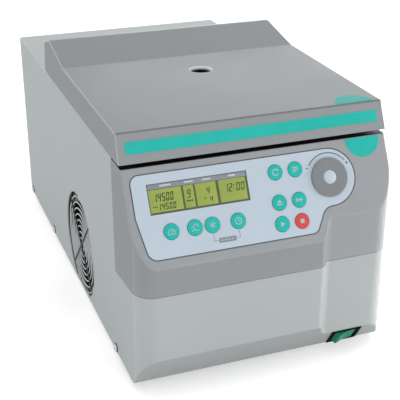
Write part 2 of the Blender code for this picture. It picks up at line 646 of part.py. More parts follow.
# ---- lid lock
lock_housing = box("lock_housing", (LOCK_X - 9, -185.4, 192.0), (LOCK_X + 9, -153.5, 227.7), mat=BLACK)
boolean(lock_housing, box("cut_lock_well", (LOCK_X - 4.8, -182.5, 196.0), (LOCK_X + 4.8, -156.5, 240)))
LOCK = frame((0, 1, 0), (0, 0, 1), (1, 0, 0), (LOCK_X, LOCK_Y, LOCK_Z))
boolean(lock_housing, drill("cut_lock_bore", [(0, 0)], 2.7, -12, 12, LOCK, 16))
cam = plate("lock_cam", filleted([(-2.4, -2.4, 2.0), (2.4, -2.4, 2.0), (2.4, 8.6, 1.5), (-2.4, 8.6, 1.5)], 2),
            -2.2, 2.2, LOCK, STEEL)
join(cam, drill("add_cam_pin", [(0, 0)], 2.3, -8.6, 8.6, LOCK, 16))

# ---- hinge bracket: two goose-neck arms on a common foot
bracket_arm = ([(58.4, 231.3), (76.4, 231.3), (76.4, 234.3), (72.4, 236.2), (82.4, 243.2)]
               + arc(HINGE_Y, HINGE_Z, 4.2, 4.2, -115, 110, 9)
               + [(76.4, 248.5), (58.4, 236.0)])
bracket = plate("hinge_bracket", bracket_arm, -74.0, -66.0, SECTION, ZINC)
join(bracket, plate("add_bracket_arm", bracket_arm, 66.0, 74.0, SECTION),
     box("add_bracket_foot", (-70.0, 58.8, 231.35), (70.0, 76.0, 233.3)))
boolean(bracket, drill("cut_bracket_bore", [(HINGE_Y, HINGE_Z)], ROD_R + 0.3, -90, 90, SECTION, 16))

# ---- feet and cover screws
for k, (x, y) in enumerate(((-116, -203), (116, -203), (-116, 241), (116, 241))):
    turned("foot_%d" % (k + 1), [(0, 9.7), (11, 9.7), (11, 4.0), (9.5, 0.0), (0, 0.0)],
           shift(x, y, 0), RUBBER, 16)
for side, sign in (("left", -1), ("right", 1)):
    for k, y in enumerate(SCREWS_Y):
        out = frame((0, sign, 0), (0, 0, 1), (sign, 0, 0), (sign * HALF_W, y, SCREW_Z))
        turned("side_screw_%s_%d" % (side, k + 1),
               [(0, 1.9), (2.6, 1.6), (3.6, 0.3), (1.8, 0.3), (1.8, -7.0), (0, -7.0)],
               out, ZINC, 12)

# ================================================================ lid
lid_cover = plate("lid_cover", lid_section(), -LID_HALF, LID_HALF, SECTION, DARK)
taper = 0.8 / 26.3 / LID_HALF
for vert in lid_cover.data.vertices:
    vert.co.z *= 1.0 - taper * (vert.co.y / MM - 240.0)
bevel(lid_cover, 2.0, 2, 38)
lid_inner = plate("cut_lid_inside", lid_section(WALL), -LID_HALF + WALL, LID_HALF - WALL, SECTION)
boolean(lid_cover, lid_inner)
boolean(lid_cover, drill("cut_lid_window", [(AXIS_X, AXIS_Y)], 13.4, 255, 290, segments=24))

LINER_Z = 241.0
liner = box("lid_liner", (-135.8, -213.0, LINER_Z), (135.8, 56.0, LINER_Z + 2.5), mat=LIGHT_PLASTIC)
join(liner, drill("add_liner_boss", [(AXIS_X, AXIS_Y)], 108.0, 236.3, LINER_Z + 0.5, segments=36))
ear = ([(42.4, 241.2), (52.4, 241.2), (84.4, 243.2)] + arc(HINGE_Y, HINGE_Z, 4.2, 4.2, -115, 110, 9)
       + [(42.4, 251.5)])
join(liner, plate("add_ear_left", ear, -65.4, -60.0, SECTION), plate("add_ear_right", ear, 60.0, 65.4, SECTION))
boolean(liner, drill("cut_ear_bore", [(HINGE_Y, HINGE_Z)], ROD_R + 0.3, -90, 90, SECTION, 16))
boolean(liner, drill("cut_liner_window", [(AXIS_X, AXIS_Y)], 13.4, 230, 250, segments=24))

window_ring = turned("window_ring", [(13.2, 267.5), (13.2, 245.2), (16.5, 245.2), (16.5, 243.7),
                                     (13.2, 243.7), (13.2, 236.6), (11.0, 236.6), (11.0, 237.8),
                                     (12.2, 237.8), (12.2, 267.5)],
                     AXIS, LIGHT_PLASTIC, 24, ring=True)
lid_window = drill("lid_window", [(0, 0)], 11.6, 238.2, 240.6, AXIS, 24, CLEAR)
seal = turned("lid_seal", [(104, 236.0), (104, 234.2), (102.6, 232.8), (99.4, 232.8), (98, 234.2), (98, 236.0)],
              AXIS, RUBBER, 32, ring=True)
hook_shape = [(-181.0, 240.6), (-181.0, 237.4), (-177.6, 236.4), (-177.6, 203.0), (-168.4, 203.0), (-168.4, 206.0),
              (-172.6, 207.0), (-172.6, 236.4), (-169.0, 237.4), (-169.0, 240.6)]
hook = plate("lid_hook", hook_shape[::-1], LOCK_X - 2.0, LOCK_X + 2.0, SECTION, STEEL)
rod = drill("hinge_rod", [(HINGE_Y, HINGE_Z)], ROD_R, -77.0, 77.0, SECTION, 12, STEEL)

# ================================================================ joint axes
carried("axis_lid", (0, HINGE_Y * MM, HINGE_Z * MM), lid_cover, liner, window_ring, lid_window, seal, hook, rod)
carried("axis_rotor", (AXIS_X * MM, AXIS_Y * MM, 0), shaft, rotor, rotor_lid, rotor_nut)
carried("axis_fan", (-HALF_W * MM, FAN_Y * MM, FAN_Z * MM), impeller)

for obj in parts.objects:
    if obj.type == "MESH" and len(obj.data.polygons) and obj.name in (
            "front_panel_lower", "front_panel_upper", "lid_cover", "fan_guard", "keypad_overlay",
            "power_rocker", "lid_window", "hinge_rod", "fan_impeller"):
        smooth(obj)
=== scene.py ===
"""Looks of the refrigerated bench centrifuge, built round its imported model.

Lengths below are millimetres times MM, in the model's own frame: +Z up, the
front faces -Y, the origin at the bottom centre.
"""
import math

import bmesh
import bpy
from mathutils import Matrix, Vector


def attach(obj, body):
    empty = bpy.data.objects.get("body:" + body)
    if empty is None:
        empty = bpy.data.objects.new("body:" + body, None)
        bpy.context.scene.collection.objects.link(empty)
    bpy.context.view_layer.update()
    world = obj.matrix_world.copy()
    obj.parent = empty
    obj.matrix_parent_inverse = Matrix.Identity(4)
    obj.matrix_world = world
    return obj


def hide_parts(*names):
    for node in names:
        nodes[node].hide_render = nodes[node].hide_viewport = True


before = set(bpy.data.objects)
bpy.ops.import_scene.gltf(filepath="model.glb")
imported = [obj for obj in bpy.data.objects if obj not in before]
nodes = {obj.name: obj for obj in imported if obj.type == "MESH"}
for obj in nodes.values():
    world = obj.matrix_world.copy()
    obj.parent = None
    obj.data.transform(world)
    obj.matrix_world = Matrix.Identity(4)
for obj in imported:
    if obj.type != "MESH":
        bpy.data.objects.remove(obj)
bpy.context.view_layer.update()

MM = 0.001
scene = bpy.context.scene


# =============================================================== camera, light
def srgb(r, g, b):
    """Display colour 0-255 as linear numbers."""
    out = []
    for c in (r, g, b):
        c /= 255.0
        out.append(c / 12.92 if c <= 0.04045 else ((c + 0.055) / 1.055) ** 2.4)
    return tuple(out)


cam_data = bpy.data.cameras.new("camera")
cam_data.sensor_width = 36.0
cam_data.lens = 36.0 * 959.84 / 400.0
cam_data.clip_start = 0.05
cam_data.clip_end = 100.0
cam = bpy.data.objects.new("camera", cam_data)
az, el, roll = math.radians(-20.315), math.radians(24.778), math.radians(-0.053)
back = Vector((math.sin(az) * math.cos(el), -math.cos(az) * math.cos(el), math.sin(el)))
right = Vector((math.cos(az), math.sin(az), 0.0))
up = back.cross(right)
view = Matrix((right, up, back)).transposed().to_4x4()
cam.matrix_world = Matrix.Translation((-0.35459, -1.01523, 0.58228)) @ view @ Matrix.Rotation(roll, 4, "Z")
scene.collection.objects.link(cam)
scene.camera = cam

scene.view_settings.view_transform = "Standard"

world = bpy.data.worlds.new("studio")
world.use_nodes = True
world.node_tree.nodes["Background"].inputs["Color"].default_value = (1.0, 1.0, 1.0, 1.0)
world.node_tree.nodes["Background"].inputs["Strength"].default_value = 0.82
scene.world = world


def area_light(name, location, target, size, power, colour=(1.0, 1.0, 1.0)):
    data = bpy.data.lights.new(name, "AREA")
    data.shape = "RECTANGLE"
    data.size, data.size_y = size
    data.energy = power
    data.color = colour
    obj = bpy.data.objects.new(name, data)
    obj.location = location
    obj.rotation_euler = (Vector(target) - Vector(location)).to_track_quat("-Z", "Y").to_euler()
    scene.collection.objects.link(obj)
    return obj


def floor_light(name, location, target, size, power):
    """A soft round patch of light on the floor beside the object."""
    data = bpy.data.lights.new(name, "SPOT")
    data.energy = power
    data.spot_size = math.radians(size)
    data.spot_blend = 1.0
    data.shadow_soft_size = 0.12
    obj = bpy.data.objects.new(name, data)
    obj.location = location
    obj.rotation_euler = (Vector(target) - Vector(location)).to_track_quat("-Z", "Y").to_euler()
    scene.collection.objects.link(obj)
    return obj


def sun_light(name, direction, strength, angle):
    data = bpy.data.lights.new(name, "SUN")
    data.energy = strength
    data.angle = math.radians(angle)
    obj = bpy.data.objects.new(name, data)
    obj.rotation_euler = Vector(direction).to_track_quat("-Z", "Y").to_euler()
    scene.collection.objects.link(obj)
    return obj


sun_light("overhead", (0.10, 0.25, -1.0), 0.72, 70)
area_light("right_box", (2.4, -0.9, 0.17), (0, 0, 0.12), (1.6, 0.3), 38)
area_light("rear_right_box", (1.7, 2.7, 0.8), (0, 0, 0.25), (2.4, 1.2), 15)
area_light("right_fill", (2.4, 0.3, 0.14), (0, 0, 0.1), (0.9, 0.25), 30)
floor_light("right_floor", (0.75, -0.25, 1.4), (0.46, -0.25, 0.0), 24, 85)
floor_light("front_floor", (-0.20, -0.52, 1.5), (-0.20, -0.51, 0.0), 14, 90)
floor_light("left_floor", (-0.42, -0.14, 1.5), (-0.40, -0.14, 0.0), 8, 90)
area_light("rear_left_box", (-1.1, 2.8, 1.1), (0, 0, 0.25), (0.9, 0.8), 6)
area_light("left_box", (-2.5, 0.5, 0.5), (0, 0, 0.12), (0.8, 0.8), 4)
area_light("front_fill", (-0.6, -3.0, 0.4), (0, 0, 0.12), (0.8, 0.5), 3)



# =============================================================== materials
def node_material(name):
    m = bpy.data.materials.new(name)
    m.use_nodes = True
    tree = m.node_tree
    return m, tree, tree.nodes["Principled BSDF"]


def finish(name, rgb, rough=0.45, metal=0.0, tint=0.035, patch=9.0, grain=900.0, depth=0.00003,
           rough_spread=0.07, stretch=(1.0, 1.0, 1.0), specular=0.5, coat=0.0, grain_mix=0.25):
    """A moulded, painted or plated surface: a slow drift of colour, a fine
    grain in colour and relief, and a roughness that wanders a little."""
    m, tree, bsdf = node_material(name)
    new, link = tree.nodes.new, tree.links.new
    where = new("ShaderNodeTexCoord")
    turn = new("ShaderNodeMapping")
    turn.inputs["Scale"].default_value = stretch
    link(where.outputs["Object"], turn.inputs["Vector"])
    slow = new("ShaderNodeTexNoise")
    slow.inputs["Scale"].default_value = patch
    slow.inputs["Detail"].default_value = 3.0
    link(where.outputs["Object"], slow.inputs["Vector"])
    fine = new("ShaderNodeTexNoise")
    fine.inputs["Scale"].default_value = grain
    fine.inputs["Detail"].default_value = 4.0
    fine.inputs["Roughness"].default_value = 0.6
    link(turn.outputs["Vector"], fine.inputs["Vector"])
    both = new("ShaderNodeMix")
    both.data_type = "FLOAT"
    both.inputs[0].default_value = grain_mix
    link(slow.outputs["Fac"], both.inputs[2])
    link(fine.outputs["Fac"], both.inputs[3])
    ramp = new("ShaderNodeValToRGB")
    ramp.color_ramp.elements[0].position = 0.30
    ramp.color_ramp.elements[1].position = 0.70
    ramp.color_ramp.elements[0].color = (*[c * (1.0 - tint) for c in rgb], 1.0)
    ramp.color_ramp.elements[1].color = (*[min(1.0, c * (1.0 + tint)) for c in rgb], 1.0)
    link(both.outputs[0], ramp.inputs["Fac"])
    link(ramp.outputs["Color"], bsdf.inputs["Base Color"])
    wander = new("ShaderNodeMapRange")
    wander.inputs["From Min"].default_value = 0.3
    wander.inputs["From Max"].default_value = 0.7
    wander.inputs["To Min"].default_value = max(0.02, rough - rough_spread)
    wander.inputs["To Max"].default_value = min(1.0, rough + rough_spread)
    link(both.outputs[0], wander.inputs["Value"])
    link(wander.outputs["Result"], bsdf.inputs["Roughness"])
    bump = new("ShaderNodeBump")
    bump.inputs["Strength"].default_value = 0.5
    bump.inputs["Distance"].default_value = depth
    link(fine.outputs["Fac"], bump.inputs["Height"])
    link(bump.outputs["Normal"], bsdf.inputs["Normal"])
    bsdf.inputs["Metallic"].default_value = metal
    bsdf.inputs["Specular IOR Level"].default_value = specular
    if coat:
        bsdf.inputs["Coat Weight"].default_value = coat
        bsdf.inputs["Coat Roughness"].default_value = 0.12
    return m


PAINT = finish("painted_steel", srgb(155, 161, 161), 0.5, tint=0.03, grain=700, depth=0.00004, specular=0.04)
# Lighter copy of the steel paint for the cabinet sheet's upward faces and top-edge bevels: painted highlight from the
# overhead light.
PAINT_TOP_HIGHLIGHT = finish("painted_steel_top_painted_highlight", srgb(174, 180, 180), 0.5, tint=0.03, grain=700, depth=0.00004, specular=0.06)
LIGHT = finish("light_grey_moulding", srgb(150, 155, 155), 0.36, tint=0.025, grain=1000)
# Darker copy of the light moulding grey for the downward-facing undercut: painted shade.
UNDERCUT_SHADE = finish("undercut_painted_shade", srgb(128, 133, 134), 0.42, tint=0.025, grain=1000)
LID = finish("lid_moulding", srgb(132, 136, 138), 0.34, tint=0.025, grain=1000, specular=0.16)
# Rougher, less shiny copy of the lid grey for the lid's sides; on the upper moulding's left wall its slightly darker
# colour is painted shade.
LID_SIDE = finish("lid_side_moulding", srgb(131, 135, 138), 0.62, tint=0.025, grain=700, depth=0.00006, specular=0.03)
# Lighter copy of the lid grey for the bevels along the lid's side edges: painted highlight.
LID_EDGE_HIGHLIGHT = finish("lid_edge_painted_highlight", srgb(150, 154, 157), 0.4, tint=0.02, grain=1000, specular=0.2)
# Darker copy of the lid grey for the bevel along the top front edge: a painted line of shade.
LID_FRONT_EDGE_SHADE = finish("lid_front_edge_painted_shade", srgb(112, 116, 119), 0.5, tint=0.02, grain=1000, specular=0.03)
PORT_RIM = finish("port_rim", srgb(206, 210, 211), 0.4, tint=0.03, patch=60, grain=1000)
DARK = finish("dark_grey_moulding", srgb(136, 139, 142), 0.42, tint=0.025, grain=1000)
# Darker copies of the moulding grey for the upright front walls below the sloping panel: painted shade.
DARK_COLUMN_SHADE = finish("dark_grey_column_painted_shade", srgb(130, 133, 136), 0.4, tint=0.025, grain=1000)
DARK_WALL_SHADE = finish("dark_grey_wall_painted_shade", srgb(121, 124, 127), 0.4, tint=0.025, grain=1000)
ZINC = finish("zinc_plate", srgb(196, 198, 200), 0.36, 1.0, tint=0.10, patch=60, grain=1500, rough_spread=0.12)
STEEL = finish("brushed_stainless", srgb(205, 205, 202), 0.30, 1.0, tint=0.08, patch=12, grain=260,
               stretch=(1.0, 1.0, 14.0), rough_spread=0.10, grain_mix=0.6)
ALUMINIUM = finish("machined_aluminium", srgb(205, 207, 210), 0.30, 1.0, tint=0.08, patch=14, grain=420,
                   stretch=(1.0, 1.0, 10.0), rough_spread=0.10, grain_mix=0.6)
WIRE = finish("guard_wire", srgb(190, 194, 195), 0.34, 0.35, tint=0.06, patch=60, grain=1600, rough_spread=0.12)
# Dark copy of the guard wire for the cross bars: painted shade standing in for the shaded sides of the bars.
GUARD_BAR_SHADE = finish("guard_bar", srgb(70, 74, 75), 0.5, 0.2, tint=0.08, patch=60, grain=1600, specular=0.2)
COPPER = finish("copper_tube", srgb(190, 120, 88), 0.34, 1.0, tint=0.16, patch=40, grain=700, rough_spread=0.14)
FOAM = finish("closed_cell_foam", srgb(222, 210, 176), 0.9, tint=0.08, patch=30, grain=500, depth=0.0003, specular=0.2)
RUBBER = finish("moulded_rubber", srgb(34, 34, 35), 0.7, tint=0.18, patch=50, grain=900, depth=0.00006, specular=0.3)
BLACK = finish("black_moulding", srgb(15, 16, 17), 0.42, tint=0.18, patch=30, grain=1000, specular=0.4)
SWITCH_BLACK = finish("switch_black", srgb(9, 10, 11), 0.7, tint=0.2, patch=30, grain=1000, specular=0.03)
ENAMEL = finish("black_enamel", srgb(24, 25, 26), 0.28, tint=0.2, patch=20, grain=240, depth=0.0001, coat=0.3)
BOARD = finish("circuit_board", srgb(28, 104, 58), 0.4, tint=0.2, patch=120, grain=300, depth=0.0001)
FILM = finish("printed_film", srgb(168, 181, 192), 0.42, tint=0.015, patch=12, grain=1500, depth=0.00001)
INK = finish("dark_print", srgb(70, 74, 84), 0.5, tint=0.08, patch=60, grain=1500, depth=0.00001)
GREY_INK = finish("grey_print", srgb(120, 123, 129), 0.5, tint=0.05, patch=60, grain=1500, depth=0.00001)
WHITE_INK = finish("light_print", srgb(150, 170, 170), 0.5, tint=0.03, patch=60, grain=1500, depth=0.00001)
TEAL = finish("teal_plastic", srgb(38, 164, 155), 0.42, tint=0.05, patch=40, grain=1100, specular=0.12)
RED = finish("red_plastic", srgb(186, 58, 56), 0.42, tint=0.05, patch=40, grain=1100)
GREEN = finish("green_plastic", srgb(24, 112, 84), 0.4, tint=0.07, patch=50, grain=1100, specular=0.05)
KNOB = finish("dial_grey", srgb(112, 115, 117), 0.42, tint=0.03, patch=30, grain=1000)
SCREEN = finish("display_window", srgb(134, 150, 66), 0.25, tint=0.04, patch=30, grain=1800, depth=0.000004)
SCREEN_EDGE = finish("display_border", srgb(74, 78, 52), 0.35, tint=0.08, patch=50, grain=1500, depth=0.000004)
SEGMENT = finish("display_segment", srgb(36, 44, 28), 0.35, tint=0.08, patch=80, grain=1500, depth=0.000004)

CLEAR, _tree, _bsdf = node_material("clear_plastic")
_bsdf.inputs["Transmission Weight"].default_value = 0.92
_bsdf.inputs["IOR"].default_value = 1.49
_wave = _tree.nodes.new("ShaderNodeTexNoise")
_wave.inputs["Scale"].default_value = 60.0
_where = _tree.nodes.new("ShaderNodeTexCoord")
_tree.links.new(_where.outputs["Object"], _wave.inputs["Vector"])
_range = _tree.nodes.new("ShaderNodeMapRange")
_range.inputs["To Min"].default_value = 0.04
_range.inputs["To Max"].default_value = 0.14
_tree.links.new(_wave.outputs["Fac"], _range.inputs["Value"])
_tree.links.new(_range.outputs["Result"], _bsdf.inputs["Roughness"])
_ramp = _tree.nodes.new("ShaderNodeValToRGB")
_ramp.color_ramp.elements[0].color = (0.80, 0.84, 0.84, 1.0)
_ramp.color_ramp.elements[1].color = (0.90, 0.93, 0.93, 1.0)
_tree.links.new(_wave.outputs["Fac"], _ramp.inputs["Fac"])
_tree.links.new(_ramp.outputs["Color"], _bsdf.inputs["Base Color"])


# =============================================================== frames
HALF_W = 140.0
Y_SIDE, Y_BACK, Y_FACE, Y_RECESS = -189.0, 271.4, -266.2, -256.2
Z_BOTTOM, Z_COVER, Z_LEDGE, Z_SPLIT = 10.0, 235.3, 234.1, 118.1
Z_CREASE, Y_UNDER = 147.6, -242.5
SLOPE, UNDER = math.radians(27.59), math.radians(32.525)
AXIS_X, AXIS_Y = 3.5, -51.0
FAN_Y, FAN_Z = -34.4, 66.0
HINGE_Y, HINGE_Z = 93.4, 247.0
LOCK_X = 106.5
WORLD = Matrix.Identity(4)


def axes(x_axis, y_axis, z_axis, origin):
    m = Matrix.Identity(4)
    for col, axis in enumerate((x_axis, y_axis, z_axis)):
        for row in range(3):
            m[row][col] = axis[row]
    for row in range(3):
        m[row][3] = origin[row] * MM
    return m


CONTROL = axes((1, 0, 0), (0, math.sin(SLOPE), math.cos(SLOPE)),
               (0, -math.cos(SLOPE), math.sin(SLOPE)), (0, Y_FACE, Z_CREASE))
UNDERCUT = axes((1, 0, 0), (0, -math.sin(UNDER), math.cos(UNDER)),
                (0, -math.cos(UNDER), -math.sin(UNDER)), (0, Y_UNDER, Z_BOTTOM))
SECTION = axes((0, 1, 0), (0, 0, 1), (1, 0, 0), (0, 0, 0))
FAN = axes((0, -1, 0), (0, 0, 1), (-1, 0, 0), (-HALF_W, FAN_Y, FAN_Z))
LID_FRONT = axes((1, 0, 0), (0, 0.38586, 0.92256), (0, -0.92256, 0.38586), (0, -220.2, 240.0))
LID_TOP = axes((1, 0, 0), (0, 0.99996, 0.00895), (0, -0.00895, 0.99996), (0, -209.2, 266.3))


def shift(x, y, z):
    return Matrix.Translation(Vector((x, y, z)) * MM)


AXIS = shift(AXIS_X, AXIS_Y, 0)


# =============================================================== mesh builders
def as_object(name, bm, matrix, mat):
    bmesh.ops.recalc_face_normals(bm, faces=bm.faces)
    mesh = bpy.data.meshes.new(name)
    bm.to_mesh(mesh)
    bm.free()
    obj = bpy.data.objects.new(name, mesh)
    obj.matrix_world = matrix
    scene.collection.objects.link(obj)
    if mat is not None:
        mesh.materials.append(mat)
    return obj


def box(name, lo, hi, matrix=WORLD, mat=None):
    bm = bmesh.new()
    size = [(b - a) * MM for a, b in zip(lo, hi)]
    centre = [(a + b) / 2 for a, b in zip(lo, hi)]
    bmesh.ops.create_cube(bm, size=1.0, matrix=shift(*centre) @ Matrix.Diagonal((*size, 1.0)))
    return as_object(name, bm, matrix, mat)


def boxes(name, ranges, matrix=WORLD, mat=None):
    bm = bmesh.new()
    for lo, hi in ranges:
        size = [(b - a) * MM for a, b in zip(lo, hi)]
        centre = [(a + b) / 2 for a, b in zip(lo, hi)]
        bmesh.ops.create_cube(bm, size=1.0, matrix=shift(*centre) @ Matrix.Diagonal((*size, 1.0)))
    return as_object(name, bm, matrix, mat)


def rods(name, spots, radius, z0, z1, matrix=WORLD, segments=48, mat=None):
    bm = bmesh.new()
    for x, y in spots:
        bmesh.ops.create_cone(bm, cap_ends=True, cap_tris=False, segments=segments, radius1=radius * MM,
                              radius2=radius * MM, depth=(z1 - z0) * MM, matrix=shift(x, y, (z0 + z1) / 2))
    return as_object(name, bm, matrix, mat)


def prism(name, outline, z0, z1, matrix=WORLD, mat=None):
    """An outline of (x, y) raised from z0 to z1."""
    return prisms(name, [outline], z0, z1, matrix, mat)


def prisms(name, outlines, z0, z1, matrix=WORLD, mat=None):
    bm = bmesh.new()
    for outline in outlines:
        low = [bm.verts.new((x * MM, y * MM, z0 * MM)) for x, y in outline]
        high = [bm.verts.new((x * MM, y * MM, z1 * MM)) for x, y in outline]
        bm.faces.new(low[::-1])
        bm.faces.new(high)
        for i in range(len(low)):
            j = (i + 1) % len(low)
            bm.faces.new((low[i], low[j], high[j], high[i]))
    return as_object(name, bm, matrix, mat)


def lathe(name, profile, matrix=WORLD, mat=None, steps=72, ring=False):
    """Turn (radius, height) points about local Z; ring=True closes the profile."""
    bm = bmesh.new()
    rows = []
    for r, z in profile:
        if r < 1e-6:
            rows.append([bm.verts.new((0.0, 0.0, z * MM))])
        else:
            rows.append([bm.verts.new((r * MM * math.cos(2 * math.pi * k / steps),
                                       r * MM * math.sin(2 * math.pi * k / steps), z * MM)) for k in range(steps)])
    pairs = list(zip(rows, rows[1:]))
    if ring:
        pairs.append((rows[-1], rows[0]))
    for a, b in pairs:
        if len(a) == 1 and len(b) == 1:
            continue
        for k in range(steps):
            j = (k + 1) % steps
            if len(a) == 1:
                bm.faces.new((a[0], b[j], b[k]))
            elif len(b) == 1:
                bm.faces.new((a[k], a[j], b[0]))
            else:
                bm.faces.new((a[k], a[j], b[j], b[k]))
    return as_object(name, bm, matrix, mat)


def hoop(name, radii, minor, height, matrix, mat, steps=96, sides=10):
    """Round wire rings of several radii at one height."""
    bm = bmesh.new()
    for radius in radii:
        rings = []
        for k in range(steps):
            a = 2 * math.pi * k / steps
            ring = []
            for s in range(sides):
                b = 2 * math.pi * s / sides
                r = radius + minor * math.cos(b)
                ring.append(bm.verts.new((r * math.cos(a) * MM, r * math.sin(a) * MM, (height + minor * math.sin(b)) * MM)))
            rings.append(ring)
        for k in range(steps):
            p, q = rings[k], rings[(k + 1) % steps]
            for s in range(sides):
                t = (s + 1) % sides
                bm.faces.new((p[s], q[s], q[t], p[t]))
    return as_object(name, bm, matrix, mat)


def wire(name, points, radius, matrix, mat, sides=12):
    """A round rod along a line of (x, y, z) points in one plane y = 0."""
    bm = bmesh.new()
    rings = []
    for i, p in enumerate(points):
        before, after = Vector(points[max(0, i - 1)]), Vector(points[min(len(points) - 1, i + 1)])
        d = (after - before).normalized()
        across = Vector((0.0, 1.0, 0.0))
        out = d.cross(across)
        rings.append([bm.verts.new((Vector(p) + across * radius * math.cos(2 * math.pi * s / sides)
                                    + out * radius * math.sin(2 * math.pi * s / sides)) * MM) for s in range(sides)])
    for p, q in zip(rings, rings[1:]):
        for s in range(sides):
            t = (s + 1) % sides
            bm.faces.new((p[s], q[s], q[t], p[t]))
    bm.faces.new(rings[0])
    bm.faces.new(rings[-1][::-1])
    return as_object(name, bm, matrix, mat)


def apply(obj):
    """Turn an object's modifiers into its mesh."""
    deps = bpy.context.evaluated_depsgraph_get()
    deps.update()
    mesh = bpy.data.meshes.new_from_object(obj.evaluated_get(deps), depsgraph=deps)
    obj.modifiers.clear()
    old = obj.data
    obj.data = mesh
    bpy.data.meshes.remove(old)
    return obj


def combine(target, others, operation):
    for other in others:
        mod = target.modifiers.new(operation.title(), "BOOLEAN")
        mod.operation = operation
        mod.solver = "EXACT"
        mod.object = other
    apply(target)
    for other in others:
        mesh = other.data
        bpy.data.objects.remove(other, do_unlink=True)
        bpy.data.meshes.remove(mesh)
    return target


def cut(target, *others):
    return combine(target, others, "DIFFERENCE")


def join(target, *others):
    return combine(target, others, "UNION")


def bevel(obj, width, segments=3, angle=35.0, now=True):
    mod = obj.modifiers.new("Bevel", "BEVEL")
    mod.width = width * MM
    mod.segments = segments
    mod.limit_method = "ANGLE"
    mod.angle_limit = math.radians(angle)
    mod.use_clamp_overlap = True
    return apply(obj) if now else obj


def shade(obj, angle=32.0, weighted=False):
    obj.data.shade_smooth()
    obj.data.set_sharp_from_angle(angle=math.radians(angle))
    if weighted:
        mod = obj.modifiers.new("Weighted", "WEIGHTED_NORMAL")
        mod.keep_sharp = True
        mod.weight = 50
        apply(obj)
    return obj


def place(obj, body, slot, *stands_for, angle=32.0, weighted=False):
    """Last step for a piece: world coordinates, shading and body; the slot argument is not used."""
    obj.data.transform(obj.matrix_world)
    obj.matrix_world = Matrix.Identity(4)
    bm = bmesh.new()
    bm.from_mesh(obj.data)
    bmesh.ops.remove_doubles(bm, verts=bm.verts, dist=0.0000005)
    bmesh.ops.dissolve_degenerate(bm, edges=bm.edges, dist=0.0000005)
    bm.to_mesh(obj.data)
    bm.free()
    shade(obj, angle, weighted)
    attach(obj, body)
    if stands_for:
        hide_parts(*stands_for)
    return obj


# =============================================================== outlines
def circle(x, y, r, n, start=0.0):
    return [(x + r * math.cos(start + 2 * math.pi * k / n),
             y + r * math.sin(start + 2 * math.pi * k / n)) for k in range(n)]


def rectangle(x0, x1, y0, y1):
    return [(x0, y0), (x1, y0), (x1, y1), (x0, y1)]


def arc(x, y, rx, ry, a0, a1, n):
    return [(x + rx * math.cos(math.radians(a0 + (a1 - a0) * k / n)),
             y + ry * math.sin(math.radians(a0 + (a1 - a0) * k / n))) for k in range(n + 1)]


def filleted(corners, steps=6):
    """Round each (x, y, radius) corner of an outline."""
    out = []
    n = len(corners)
    for i, (x, y, r) in enumerate(corners):
        if r <= 0:
            out.append((x, y))
            continue
        p = Vector((x, y))
        da = (Vector(corners[i - 1][:2]) - p).normalized()
        db = (Vector(corners[(i + 1) % n][:2]) - p).normalized()
        half = da.angle(db) / 2
        c = p + (da + db).normalized() * (r / math.sin(half))
        s = p + da * (r / math.tan(half))
        e = p + db * (r / math.tan(half))
        a0 = math.atan2(s.y - c.y, s.x - c.x)
        a1 = math.atan2(e.y - c.y, e.x - c.x)
        sweep = (a1 - a0 + math.pi) % (2 * math.pi) - math.pi
        for k in range(steps + 1):
            a = a0 + sweep * k / steps
            out.append((c.x + r * math.cos(a), c.y + r * math.sin(a)))
    return out


def inset(points, distance):
    """Move a closed counter-clockwise outline inwards."""
    out = []
    n = len(points)
    for i in range(n):
        p, before, after = Vector(points[i]), Vector(points[i - 1]), Vector(points[(i + 1) % n])
        a, b = (p - before).normalized(), (after - p).normalized()
        m = (Vector((-a.y, a.x)) + Vector((-b.y, b.x))).normalized()
        q = p + m * distance / max(0.3, m.dot(Vector((-a.y, a.x))))
        out.append((q.x, q.y))
    return out


def stroke(points, width):
    """A flat band of a given width along an open line of points."""
    left, right_side = [], []
    for i, p in enumerate(points):
        before, after = Vector(points[max(0, i - 1)]), Vector(points[min(len(points) - 1, i + 1)])
        d = (after - before).normalized()
        n = Vector((-d.y, d.x)) * width / 2
        left.append((p[0] + n.x, p[1] + n.y))
        right_side.append((p[0] - n.x, p[1] - n.y))
    return right_side + left[::-1]


# =============================================================== front moulding
def smooth_max(a, b, k):
    h = max(k - abs(a - b), 0.0) / k
    return max(a, b) + h * h * k * 0.25


STEP_A, STEP_B, STEP_R, STEP_TURN = 51.6, 68.0, 9.16, math.radians(58)
STEP_ARC = STEP_R * math.sin(STEP_TURN)


def plan_y(x):
    """Front edge of the moulding in plan, without the sloping cuts."""
    if x <= -118.0:
        return -244.6 - 21.6 * math.sqrt(max(0.0, 1.0 - ((x + 118.0) / 22.0) ** 2))
    if x <= STEP_A:
        return Y_FACE
    if x <= STEP_A + STEP_ARC:
        return Y_FACE + STEP_R - math.sqrt(STEP_R ** 2 - (x - STEP_A) ** 2)
    if x < STEP_B - STEP_ARC:
        return (Y_FACE + Y_RECESS) / 2 + (x - (STEP_A + STEP_B) / 2) * math.tan(STEP_TURN)
    if x <= STEP_B:
        return Y_RECESS - STEP_R + math.sqrt(STEP_R ** 2 - (STEP_B - x) ** 2)
    if x <= 117.0:
        return Y_RECESS
    return -228.0 - 28.2 * math.sqrt(max(0.0, 1.0 - ((x - 117.0) / 23.0) ** 2))


CORNER = 2.2      # radius where the sloping planes meet the side walls


def corner_fillet(d):
    return CORNER - math.sqrt(CORNER ** 2 - (CORNER - d) ** 2) if d < CORNER else 0.0


